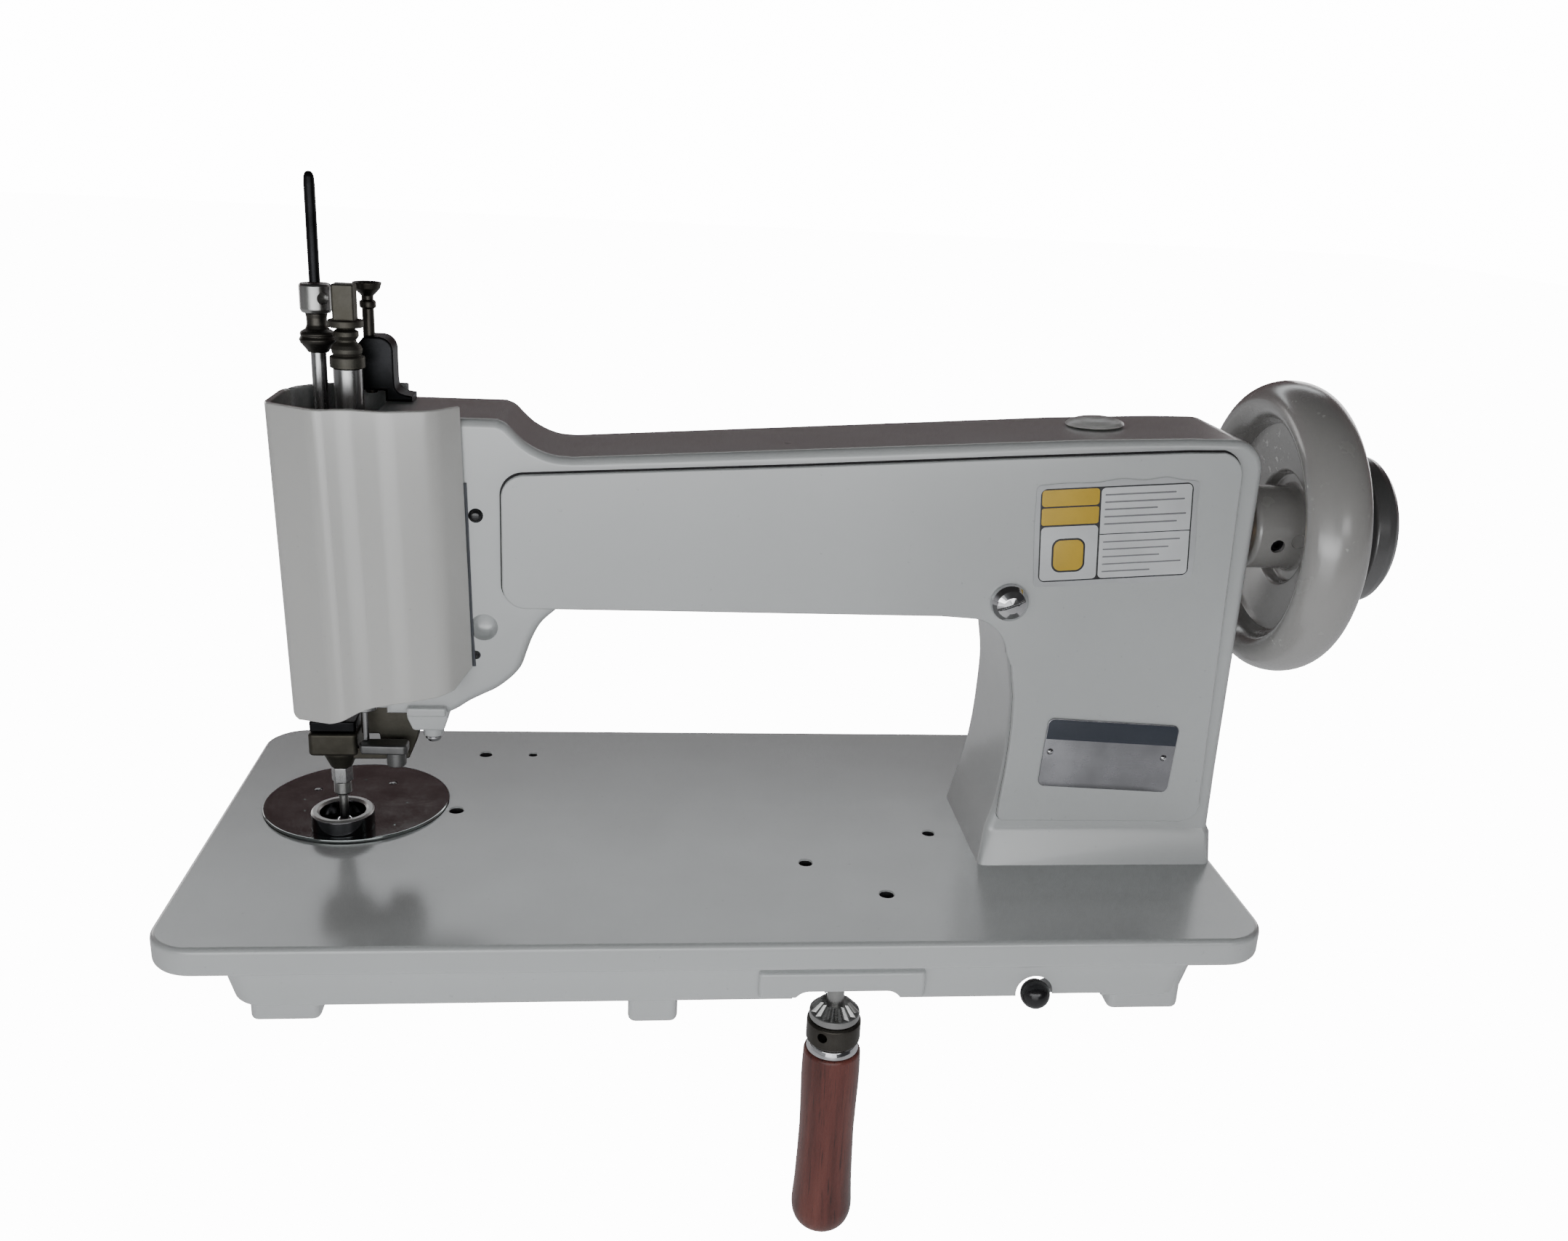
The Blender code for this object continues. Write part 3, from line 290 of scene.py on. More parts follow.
def rounded(low, high, radius, steps=8):
    """A rectangle with rounded corners."""
    (x0, y0), (x1, y1) = low, high
    return (arc((x1 - radius, y0 + radius), radius, -90, 0, steps)
            + arc((x1 - radius, y1 - radius), radius, 0, 90, steps)
            + arc((x0 + radius, y1 - radius), radius, 90, 180, steps)
            + arc((x0 + radius, y0 + radius), radius, 180, 270, steps))


def eased(points, radius, closed=False, steps=3):
    """Round each corner of a path; the ends of an open one stay."""
    path = [Vector(p) for p in points]
    result = []
    for i, corner in enumerate(path):
        if not closed and i in (0, len(path) - 1):
            result.append(tuple(corner))
            continue
        back, ahead = path[i - 1] - corner, path[(i + 1) % len(path)] - corner
        reach = min(radius, 0.45 * back.length, 0.45 * ahead.length)
        start, end = corner + back.normalized() * reach, corner + ahead.normalized() * reach
        for step in range(steps + 1):
            t = step / steps
            result.append(tuple((1 - t) ** 2 * start + 2 * t * (1 - t) * corner + t * t * end))
    return result


def flowing(points, per=4):
    """A smooth curve through the points (Catmull-Rom)."""
    path = [Vector(p) for p in points]
    path = [2 * path[0] - path[1], *path, 2 * path[-1] - path[-2]]
    result = []
    for a, b, c, d in zip(path, path[1:], path[2:], path[3:]):
        for step in range(per):
            t = step / per
            result.append(tuple(0.5 * (2 * b + (c - a) * t + (2 * a - 5 * b + 4 * c - d) * t ** 2
                                       + (3 * b - a - 3 * c + d) * t ** 3)))
    return [*result, tuple(path[-2])]


# ---- solids --------------------------------------------------------------------------------------------
AXIS_TURN = {"Z": Matrix.Identity(4),
             "Y": Matrix.Rotation(math.radians(90), 4, "X"),
             "X": Matrix(((0, 0, 1, 0), (1, 0, 0, 0), (0, 1, 0, 0), (0, 0, 0, 1)))}


def piece(name, mesh, look):
    """Link a mesh as an object with one material."""
    item = bpy.data.objects.new(name, mesh)
    bpy.context.scene.collection.objects.link(item)
    if look and not mesh.materials:
        mesh.materials.append(look)
    return item


def as_mesh(name, work):
    """Turn a bmesh into a mesh and free it."""
    mesh = bpy.data.meshes.new(name)
    work.to_mesh(mesh)
    work.free()
    return mesh


def evaluated(item):
    """An object's mesh with its modifiers applied."""
    return bpy.data.meshes.new_from_object(item.evaluated_get(bpy.context.evaluated_depsgraph_get()))


def sewn(mesh):
    """Weld a mesh and turn its faces outwards."""
    work = bmesh.new()
    work.from_mesh(mesh)
    bmesh.ops.remove_doubles(work, verts=work.verts, dist=1e-6)
    bmesh.ops.recalc_face_normals(work, faces=work.faces)
    work.to_mesh(mesh)
    work.free()
    return mesh


def lathe(name, profile, at=(0, 0, 0), axis="Z", look=None, steps=64, ring=False, ease=0.3):
    """Spin (radius, height) points about an axis; along "Y" heights point to the front."""
    points = eased(profile, ease, ring) if ease else profile
    work = bmesh.new()
    rows = []
    for radius, height in points:
        count = 1 if radius < 1e-6 else steps
        turns = [2 * math.pi * i / steps for i in range(count)]
        rows.append([work.verts.new((radius * MM * math.cos(a), radius * MM * math.sin(a), height * MM))
                     for a in turns])
    pairs = list(zip(rows, rows[1:]))
    if ring:
        pairs.append((rows[-1], rows[0]))
    for upper, lower in pairs:
        for i in range(steps):
            corners = [upper[i % len(upper)], upper[(i + 1) % len(upper)],
                       lower[(i + 1) % len(lower)], lower[i % len(lower)]]
            face = list(dict.fromkeys(corners))
            if len(face) > 2:
                work.faces.new(face)
    mesh = as_mesh(name, work)
    mesh.transform(Matrix.Translation(Vector(at) * MM) @ AXIS_TURN[axis])
    return piece(name, sewn(mesh), look)


def rod(name, radius, low, high, at, axis="Z", look=None, steps=48, ease=0.4):
    """A plain round bar between two heights on its axis."""
    return lathe(name, [(0, high), (radius, high), (radius, low), (0, low)], at, axis, look, steps, ease=ease)


def sleeve(name, inner, outer, low, high, at, axis="Z", look=None, steps=64, ease=0.3):
    """A plain round tube between two heights on its axis."""
    profile = [(inner, high), (outer, high), (outer, low), (inner, low)]
    return lathe(name, profile, at, axis, look, steps, True, ease)


def prism(name, loops, low, high, axis="Z", look=None, edge=0.5, rings=3):
    """Extrude a flat outline with holes between two heights, with its rims rounded."""
    curve = bpy.data.curves.new(name, "CURVE")
    curve.dimensions = "2D"
    curve.fill_mode = "BOTH"
    curve.extrude = max(0.0, (high - low) / 2 - edge) * MM
    curve.bevel_depth = edge * MM
    curve.offset = -edge * MM
    curve.bevel_resolution = rings
    for loop in loops:
        spline = curve.splines.new("POLY")
        spline.points.add(len(loop) - 1)
        spline.use_cyclic_u = True
        for point, (a, b) in zip(spline.points, loop):
            point.co = (a * MM, b * MM, 0.0, 1.0)
    flat = piece(name + "_curve", curve, None)
    mesh = evaluated(flat)
    bpy.data.objects.remove(flat, do_unlink=True)
    middle = (low + high) / 2 * MM
    shift = {"Z": (0, 0, middle), "Y": (0, middle, 0), "X": (middle, 0, 0)}[axis]
    mesh.transform(Matrix.Translation(shift) @ AXIS_TURN[axis])
    mesh.materials.clear()
    return piece(name, sewn(mesh), look)


def box(name, low, high, look=None, edge=0.6, corner=None):
    """A block between two corners with rounded edges."""
    radius = edge if corner is None else corner
    outline = rounded(low[:2], high[:2], max(radius, 0.05), 4)
    return prism(name, [outline], low[2], high[2], look=look, edge=edge)


def baked(item):
    """Turn an object's modifiers into its mesh."""
    mesh = evaluated(item)
    item.modifiers.clear()
    item.data = mesh
    return item


def carve(item, *cutters, operation="DIFFERENCE"):
    """Cut solids out of an object, or with UNION add them, and drop them."""
    for cutter in cutters:
        boolean = item.modifiers.new("cut", "BOOLEAN")
        boolean.operation = operation
        boolean.solver = "EXACT"
        boolean.object = cutter
        baked(item)
        bpy.data.objects.remove(cutter, do_unlink=True)
    return item


def soften(item, width, segments=2, angle=40):
    """Round an object's edges."""
    bevel = item.modifiers.new("bevel", "BEVEL")
    bevel.width = width * MM
    bevel.segments = segments
    bevel.limit_method = "ANGLE"
    bevel.angle_limit = math.radians(angle)
    bevel.harden_normals = False
    return baked(item)


def turned_about(item, centre, angle, axis):
    """Turn an object's mesh about an axis through a point."""
    pivot = Vector(centre) * MM
    spin = Matrix.Rotation(math.radians(angle), 4, axis)
    item.data.transform(Matrix.Translation(pivot) @ spin @ Matrix.Translation(-pivot))
    return item


def joined(name, items):
    """Make one object of several; each keeps its material."""
    work = bmesh.new()
    looks = []
    for item in items:
        first = len(work.faces)
        work.from_mesh(item.data)
        work.faces.ensure_lookup_table()
        look = item.data.materials[0]
        if look not in looks:
            looks.append(look)
        for face in work.faces[first:]:
            face.material_index = looks.index(look)
        bpy.data.objects.remove(item, do_unlink=True)
    mesh = as_mesh(name, work)
    for look in looks:
        mesh.materials.append(look)
    return piece(name, mesh, None)


def finished(item, *nodes, angle=32, flat=True):
    """Shade an object, and let it stand for CAD nodes on their body."""
    item.data.shade_smooth()
    item.data.set_sharp_from_angle(angle=math.radians(angle))
    if flat:
        normals = item.modifiers.new("normals", "WEIGHTED_NORMAL")
        normals.keep_sharp = True
        baked(item)
    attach(item, BODY_OF[nodes[0]])
    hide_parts(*nodes)
    return item


def repaint(item, look, chosen):
    """Give another look to the faces that a test picks out by their centre in mm."""
    item.data.materials.append(look)
    slot = len(item.data.materials) - 1
    for face in item.data.polygons:
        if chosen(face.center / MM):
            face.material_index = slot
    return item


# ---- bed -----------------------------------------------------------------------------------------------
BED_HOLES = ((-120.0, 186.0, 3.2), (-95.0, 186.0, 2.2), (-127.4, 119.3, 3.4),
             (39.7, 65.3, 3.0), (73.4, 36.0, 3.2), (104.0, 95.0, 2.8))


def hole_cutter(name, x, y, radius, top):
    """A through hole with a small countersink at the top."""
    profile = [(0, top + 1), (radius + 1.5, top + 1), (radius, top - 0.6), (radius, -5), (0, -5)]
    return lathe(name, profile, (x, y, 0), steps=32, ease=0)


def drafted(item, start, end, inset):
    """Draw an apron's lower points towards the middle in X."""
    for vert in item.data.vertices:
        depth = min(1.0, max(0.0, (start * MM - vert.co.z) / ((start - end) * MM)))
        vert.co.x -= math.copysign(inset * MM * depth, vert.co.x)
    return item


def make_bed():
    """The bed plate, its hanging apron with feet, the front boss and every opening."""
    plan = [rounded((-238, -6), (238, 219), 20, 14), circle(PLATE[:2], 38, 72),
            rounded((165, 80), (205, 122), 8)]
    bed = prism("bed", plan, 0, BED_TOP, look=CREAM, edge=2.4)
    walls = [rounded((-215 + o, 6 + o), (215 - o, 205 - o), 14 - o) for o in (0, 7)]
    bed = carve(bed, drafted(prism("apron", walls, -22, 3, edge=1.6), 0, -22, 7), operation="UNION")
    for x0, x1, drop in ((-200, -171, 30), (-42, -20.5, 33.5), (172, 205, 30)):
        for y in (7.2, 187.8):
            foot = box("foot", (x0, y, -drop), (x1, y + 16, 1), edge=2.6, corner=3.5)
            bed = carve(bed, foot, operation="UNION")
    boss = box("boss", (14, 2.5, -19), (87, 12, -6.5), edge=1.3, corner=2)
    rib = box("rib", (-34, 12, -9), (-28, 199, 1), edge=1.5)
    bed = carve(bed, boss, rib, operation="UNION")
    cutters = [hole_cutter("hole", x, y, r, BED_TOP) for x, y, r in BED_HOLES]
    seat = rod("seat", 44.4, BED_TOP - 1.6, 20, PLATE, steps=128, ease=0)
    arch = prism("arch", [rounded((29, -40), (77, -15.5), 7)], 0, 20, "Y", edge=0.05)
    notch = prism("notch", [circle((137, -19.5), 8.3, 40)], 0, 20, "Y", edge=0.05)
    slot = box("slot", (137, 3, -40), (168, 18, -20.2), edge=0.05)
    bed = carve(bed, *cutters, seat, arch, notch, slot)

    def in_hole(centre):
        near = any(math.dist(centre[:2], (x, y)) < r + 0.2 for x, y, r in BED_HOLES)
        return near and centre.z < BED_TOP - 0.3

    # the walls of the bed's holes get painted shade
    repaint(finished(bed, "bed_casting", angle=50), PAINTED_SHADE, in_hole)


# ---- arm, column and head ------------------------------------------------------------------------------
SKIRT_TOP = 29.0
HEAD_LOW = 84.3
COVER_TOP = 222.5
BOSS = (-132.0, 86.0, 0.0)
BUTTON = (-109.2, FACE_Y, 175.9)
ARM_BACK = 131.0        # back of the casting before it is bent
BACK_TAPER = 9          # how much shallower the arm is at the head than at the column
FOOT_FLARE = 13         # how far the column's foot reaches back
SKIRT_REACH = 7         # how far the column's skirt reaches forward


def share(value, start, end):
    """How far a value is on its way from start to end, from 0 to 1."""
    return min(1.0, max(0.0, (value - start) / (end - start)))


def arm_outline():
    """Side view of the casting: hump, rising arm, column with its flared foot, sweep under the head."""
    dip = flowing([(-100, 216.8), (-96, 215), (-92, 211), (-87.8, 207.2), (-81.8, 203.9), (-75.9, 202.1),
                   (-69, 201.6)])
    corner = arc((220, 203.8), 14, 90, 0)
    foot = [(234.5, 60), (235, 30), (236.4, 27), (236.4, 8)]
    flare = [(121.5, 8), (121.5, 13), *flowing([(125, 28), (128.5, 42), (130.5, 60), (131, 80), (130.5, 97),
                                                (127.4, 114)])]
    underside = [*arc((107, 116), 19, 8, 90), (94, 135), (-70, 135)]
    sweep = flowing([(-75, 134.6), (-82, 128), (-86, 121), (-88.6, 114), (-91, 107.4), (-95, 102.3),
                     (-101.5, 97),
                     (-108, 93.6), (-114, 90.4), (-118.5, 87.3), (-123, 85.1), (-128, HEAD_LOW)])
    return [(-150, 216.8), *dip, (26, 207.6), (151, 215.5), (200, 217.6), *corner, *foot, *flare, *underside,
            *sweep, (-150, HEAD_LOW)]


def sliced(item, cuts):
    """Cut an object's faces along planes across X or Z, so that they can bend there."""
    work = bmesh.new()
    work.from_mesh(item.data)
    for axis, height in cuts:
        across = Vector((axis == "X", 0, axis == "Z"))
        everything = [*work.verts, *work.edges, *work.faces]
        bmesh.ops.bisect_plane(work, geom=everything, plane_co=across * height * MM, plane_no=across)
    work.to_mesh(item.data)
    work.free()


def make_arm():
    """The casting above the bed, deeper towards the column and its foot, with a sloping skirt in front."""
    arm = prism("arm", [arm_outline()], FACE_Y, ARM_BACK, "Y", CREAM, 3.6, 4)
    sliced(arm, (("X", -60), ("X", 50), ("X", 95), ("X", 131), ("Z", SKIRT_TOP), ("Z", 60), ("Z", 100)))
    for vert in arm.data.vertices:
        x, y, z = (c / MM for c in vert.co)
        if y > FACE_Y + 30:
            taper = BACK_TAPER * (share(x, -100, 230) - 1)
            vert.co.y += (taper + FOOT_FLARE * share(x, 95, 131) * share(z, 190, BED_TOP)) * MM
        elif x > 112:
            vert.co.y -= SKIRT_REACH * share(z, SKIRT_TOP, BED_TOP) * MM
    head = box("head_hollow", (-170, 77, 90), (-112, 116, 205), edge=0.05)
    column = box("column_hollow", (140, 76, 0), (226, 126, 190), edge=0.05)
    pocket = lathe("pocket", [(0, 3), (6.2, 0.5), (5.4, -4), (4.2, -7), (0, -8)], (-106.7, FACE_Y, 126),
                   "Y", steps=32, ease=1.0)
    bore = rod("bore", 2, -12, 5, (-110.3, FACE_Y, 113.2), "Y", steps=24, ease=0)
    button_hole = rod("bore", 3.1, -12, 5, BUTTON, "Y", steps=32, ease=0)
    arm = carve(arm, head, column, pocket, bore, button_hole)
    solids = [box("lug", (NEEDLE[0], 82, low), (-140, 112, high), edge=1.5, corner=2)
              for low, high in ((196, 206), (82, 94))]
    solids += [rod("nose", 6.9, low, high, NEEDLE, steps=64, ease=1.2)
               for low, high in ((196, 206), (82, 94))]
    back = [(-190.4, 97.6), (-188.0, 104.4), (-182.3, 110.9), (-172, 117.3), (-160, 120.8), (-143, 121.4),
            (-143, 118.2), (-160, 117.9), (-171, 114), (-179.6, 108.8), (-185, 102.6), (-187.2, 97.6)]
    solids.append(prism("head_back", [eased(back, 1.0, True)], 88, COVER_TOP, edge=0.8))
    solids.append(box("lip", (-140.5, 65.5, 84.9), (-123.5, 73, 89.2), edge=0.9, corner=1.2))
    taper = [(-142, 80), (-139.5, 74.3), (-126, 74.3), (-124, 80), (-124, 86), (-142, 86)]
    solids.append(prism("pad", [eased(taper, 1.2, True)], 75.4, 96.3, "Y", edge=0.9))
    solids.append(lathe("boss", [(0, 77), (5.4, 77), (4.8, 72), (4.6, 68.3), (0, 68.3)], BOSS, ease=0.8))
    arm = carve(arm, *solids, operation="UNION")
    cutters = [rod("bore", 5.3, 60, 240, NEEDLE, steps=32, ease=0),
               rod("bore", 6.15, 60, 240, PRESSER, steps=32, ease=0),
               rod("bore", 12, 215, 240, SHAFT_LINE, "X", steps=64, ease=0),
               rod("bore", 10, -125, 150, SHAFT_LINE, "X", steps=64, ease=0)]
    finished(carve(arm, *cutters), "arm_casting", angle=38)


def panel_outline():
    left = arc((-88.4, 184.6), 10, 180, 95)
    top = [(26.6, 201.4), (120, 207.6), (197.7, 212.4)]
    right = [*arc((212, 202), 11, 80, 0), (227, 45), *arc((217.5, 44), 10, -5, -90)]
    column = [(138, 34.5), *arc((133, 38), 3.8, -110, -190, 4),
              *flowing([(129.6, 46), (130.8, 60), (131.6, 80), (131, 97)]),
              (128.4, 112)]
    under = [*arc((107, 116), 18.6, 6, 90), (94, 135.4), (-30, 135.6)]
    return [*left, *top, *right, *column, *under, *arc((-88.4, 145.6), 10, 270, 180)]


def make_cover_gap_shade():
    """A dark strip that stands in for the shadow in the gap between the face cover's right edge and the arm:
    painted shadow.
    """
    strip = [(-118.5, 108), (-110.4, 108), (-111.2, 124), (-112.6, 190), (-118.5, 190)]
    gap_shade = prism("cover_gap_shade_strip", [strip], FACE_Y - 0.5, FACE_Y + 1.6, "Y", COVER_GAP_SHADE, 0.2)
    gap_shade.data.shade_smooth()
    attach(gap_shade, "frame")


def make_panel():
    """The side panel over a thin dark strip that stands in for the shadow along its edges: painted shadow."""
    back = FACE_Y - 0.3
    finished(prism("panel", [panel_outline()], back - 3.0, back, "Y", CREAM, 0.8), "side_panel")
    # painted shadow: a near-black sheet just wider than the panel, showing as a dark line round it
    shadow_line = prism("panel_shadow_line", [[(x * 1.004 - 0.35, z + (z - 130) * 0.008) for x, z in panel_outline()]],
                 back + 0.04, FACE_Y + 0.1, "Y", PAINTED_SHADE, 0.05)
    shadow_line.data.shade_smooth()
    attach(shadow_line, "frame")


# ---- face cover ----------------------------------------------------------------------------------------
HEM = ((-200, 93.0), (-190, 87.0), (-184, 84.7), (-178, 85.6), (-171, 87.2), (-164, 89.6), (-157, 92.8),
       (-147, 96.3), (-140, 97.6), (-126, 98.8), (-117, 101.0), (-108, 112.0))


def hem_height(x):
    """Where the cover ends, at a given X."""
    for (x0, z0), (x1, z1) in zip(HEM, HEM[1:]):
        if x <= x1:
            return z0 + (z1 - z0) * share(x, x0, x1)
    return HEM[-1][1]


COVER_WALL = 2.6
COVER_LEAN = 3.0        # how far the cover shifts in X from its top down to the height of 100


def make_cover():
    """The faceted sheet cover in front of the needle mechanism, open at the back."""
    plan = [(-114.2, 67.0), (-124.0, 54.6), (-142.0, 49.0), (-158.5, 52.3), (-167.5, 48.7), (-172, 49.8),
            (-190.2, 61.8), (-192.0, 66.0), (-192.3, 93.0), (-190.6, 97.0)]
    line = eased(plan, 4.5, steps=5)
    levels = 14
    work = bmesh.new()
    rows = []
    for level in range(levels + 1):
        row = []
        for x, y in line:
            top_share = level / levels
            low = hem_height(x + 3.2)
            z = low + (COVER_TOP - low) * top_share
            shift = COVER_LEAN * (COVER_TOP - z) / (COVER_TOP - 100)
            row.append(work.verts.new(((x + shift) * MM, y * MM, z * MM)))
        rows.append(row)
    for lower, upper in zip(rows, rows[1:]):
        for i in range(len(line) - 1):
            work.faces.new((lower[i], upper[i], upper[i + 1], lower[i + 1]))
    bmesh.ops.recalc_face_normals(work, faces=work.faces)
    cover = piece("cover", as_mesh("cover", work), COVER_CREAM)
    wall = cover.modifiers.new("wall", "SOLIDIFY")
    wall.thickness = COVER_WALL * MM
    wall.offset = -1.0
    wall.use_even_offset = True
    cover = soften(baked(cover), 0.7, 2, 60)
    finished(cover, "face_cover", angle=45)


# ---- screws, tags and caps -----------------------------------------------------------------------------
PANEL_FRONT = FACE_Y - 3.3
TAG_FRONT = PANEL_FRONT - 0.3


def make_panel_screw():
    """A large dome screw with a slanted slot."""
    place = (124, PANEL_FRONT, 142.9)
    head = [(0, 6.5), (3.5, 6.1), (6.5, 4.8), (8.3, 2.6), (8.6, 0.8), (8.2, 0.3), (2.6, 0.3), (2.6, -12),
            (0, -12)]
    screw = lathe("panel_screw_head", head, place, "Y", CHROME)
    groove = box("groove", (112, PANEL_FRONT - 9, 142.2), (136, PANEL_FRONT - 4.7, 143.6), edge=0.1)
    carve(screw, turned_about(groove, place, -22, "Y"))
    finished(screw, "panel_screw")


def make_nameplate():
    """A satin plate with a dark band along its top, held by two rivets; it carries no lettering."""
    parts = [prism("tag", [rounded((-31.5, -17), (31.5, 17), 3)], TAG_FRONT - 0.8, TAG_FRONT, "Y",
                   PLATE_METAL, 0.25)]
    band = [(-31.2, 6.8), (31.2, 6.8), *arc((28.4, 13.9), 2.8, 0, 90, 6),
            *arc((-28.4, 13.9), 2.8, 90, 180, 6)]
    parts.append(prism("band", [band], TAG_FRONT - 0.86, TAG_FRONT - 0.7, "Y", BAND_BLUE, 0.03))
    tag = joined("nameplate_shape", parts)
    middle, turn = (178.9, 68.7), 3.1
    hang(tag, middle, turn)
    finished(tag, "nameplate", flat=False)
    for node, x in (("nameplate_rivet_left", 150.6), ("nameplate_rivet_right", 205.4)):
        z = middle[1] - (x - middle[0]) * math.tan(math.radians(turn)) + 0.6
        dome = [(0, 1.0), (0.7, 0.9), (1.3, 0.5), (1.6, 0), (1.6, -0.1), (0, -0.1)]
        finished(lathe(node + "_head", dome, (x, TAG_FRONT - 0.8, z), "Y", CHROME, 32, ease=0.1), node)


def make_label():
    """A plain two-colour sticker on a larger torn backing, in place of a printed one."""
    def layer(name, outline, depth, look):
        return prism(name, [outline], TAG_FRONT - depth, TAG_FRONT - depth + 0.12, "Y", look, 0.02)

    torn = [(-36.2, -23.2), (-20, -23.8), (-4, -23.1), (14, -24.0), (30, -22.8), (36.4, -22.0), (36.9, -6),
            (36.3, 9),
            (37.0, 21.5), (28, 22.6), (22, 24.2), (12, 23.0), (2, 24.4), (-10, 22.9), (-24, 23.4),
            (-36.0, 22.8), (-36.6, 6)]
    parts = [layer("backing", eased(torn, 2.0, True), 0.12, FILM_BACK),
             layer("outline", rounded((-34.2, -21.2), (34.2, 21.2), 3), 0.2, FILM_BLACK),
             layer("white", rounded((-7.2, -20.6), (33.6, 20.6), 2), 0.28, FILM_WHITE),
             layer("white_low", rounded((-33.6, -20.6), (-8.0, 4.0), 2), 0.28, FILM_WHITE),
             layer("yellow_top", rounded((-33.6, 13.2), (-8.0, 20.6), 1.5), 0.28, FILM_YELLOW),
             layer("yellow_mid", rounded((-33.6, 4.8), (-8.0, 12.5), 1.0), 0.28, FILM_YELLOW),
             layer("badge_edge", rounded((-28.5, -17.0), (-13.5, -1.5), 4), 0.34, FILM_BLACK),
             layer("badge", rounded((-27.7, -16.2), (-14.3, -2.3), 3.4), 0.42, FILM_YELLOW),
             layer("divider", rounded((-7.2, -0.6), (33.6, -0.2), 0.15, 2), 0.34, FILM_BLACK)]
    blocks = ((17.4, 3.3, 0.35, 0.3, (32, 36, 24, 37, 33)), (-4.0, 3.4, 0.3, 0.25, (35, 30, 26, 36, 22)))
    for top, pitch, half, radius, lengths in blocks:
        for row, length in enumerate(lengths):
            z = top - row * pitch
            outline = rounded((-5.5, z - half), (-5.5 + length, z + half), radius, 2)
            parts.append(layer("rule", outline, 0.34, FILM_GREY))
    label = joined("label", parts)
    hang(label, (168.5, 176.0), -4.2)
    finished(label, "info_label", flat=False)


def hang(item, place_xz, turn):
    """Turn a flat tag in the panel's plane and put it at its place (x, z)."""
    spin = Matrix.Rotation(math.radians(turn), 4, "Y")
    item.data.transform(Matrix.Translation((place_xz[0] * MM, 0, place_xz[1] * MM)) @ spin)


def make_oil_cap():
    """The white push-on cap on top of the column."""
    place = (166, 104, 217.3)
    profile = [(0, 3.0), (5, 2.8), (9, 2.1), (12, 1.1), (13.3, 0.1), (13.3, -0.4), (4.6, -0.4), (4.6, -6),
               (0, -6)]
    cap = lathe("oil_cap_dome", profile, place, look=WHITE_PLASTIC, steps=72, ease=0.4)
    turned_about(cap, place, -3.0, "Y")
    finished(cap, "oil_cap")


def make_small_fittings():
    """The dark button beside the cover and the bolt in the boss under the head."""
    button = [(0, 1.6), (1.6, 1.4), (2.5, 0.7), (2.7, 0), (2.7, -6), (0, -6)]
    finished(lathe("button", button, BUTTON, "Y", BLACK_PLASTIC, 40), "cover_button")
    bolt = [(0, 68), (3.7, 68), (3.7, 66.9), (2.8, 65.6), (0, 65.1)]
    finished(lathe("bolt", bolt, BOSS, look=CHROME, steps=40), "head_bolt")


# ---- throat --------------------------------------------------------------------------------------------
PLATE_TOP = 14.0
PLATE_TILT = math.radians(1.3)      # the needle plate sits a little proud at its front edge
DIMPLES = ((-201.8, 128.6), (-199.0, 116.0), (-176.7, 152.6), (-152.0, 125.3), (-154.0, 100.7))
PLATE_SCREWS = ((-198, 141), (-162.7, 148.8))


def make_throat():
    """The chromed needle plate with its screws and dimples, and the ring round the needle."""
    plate = rod("plate", 44.1, 12.3, PLATE_TOP, PLATE, look=MIRROR_PLATE, steps=160, ease=0.5)
    cutters = [rod("bore", 8, 5, 20, NEEDLE, ease=0)]
    cutters += [lathe("dimple", [(0, 15), (0.9, 15), (0.6, 13.8), (0, 13.7)], (x, y, 0), steps=20, ease=0)
                for x, y in DIMPLES]
    cutters += [rod("sink", 2.1, 5, 15, (x, y, 0), steps=24, ease=0)
                for x, y in PLATE_SCREWS]
    plate = carve(plate, *cutters)
    for vert in plate.data.vertices:
        vert.co.z += (PLATE[1] * MM - vert.co.y) * math.tan(PLATE_TILT)
    finished(plate, "needle_plate")
    for index, (x, y) in enumerate(PLATE_SCREWS):
        seat = PLATE_TOP + (PLATE[1] - y) * math.tan(PLATE_TILT)
        head = lathe("head", [(0, 0.4), (1.2, 0.35), (1.7, -0.1), (1.7, -1.8), (0, -1.8)], (x, y, seat),
                     steps=32,
                     look=GROUND, ease=0.1)
        carve(head, box("slot", (x - 3, y - 0.25, seat), (x + 3, y + 0.25, seat + 2), edge=0.03))
        finished(head, f"plate_screw_{index + 1}")
    inner, outer, low, top = 10.4, 14.5, PLATE_TOP + 0.9, 23.0
    profile = [(inner + 1.2, top), (outer - 0.9, top), (outer, top - 0.9), (outer, low), (inner, low),
               (inner, top - 1.2)]
    ring = lathe("ring", profile, (NEEDLE[0] - 0.7, AXIS_Y, 0), look=SATIN, steps=96, ring=True, ease=0.25)
    # below its top the ring is near-black: partly its own dark steel, partly painted shade inside and a
    # painted dark reflection on its outer side
    repaint(finished(ring, "throat_ring"), DARK_STEEL_AND_SHADE, lambda centre: centre.z < top - 0.8)


# ---- needle bar and presser ----------------------------------------------------------------------------
BAR_R = 3.2
CRANK_Z = SHAFT_Z - 10.0
ROD_LENGTH = 48.0


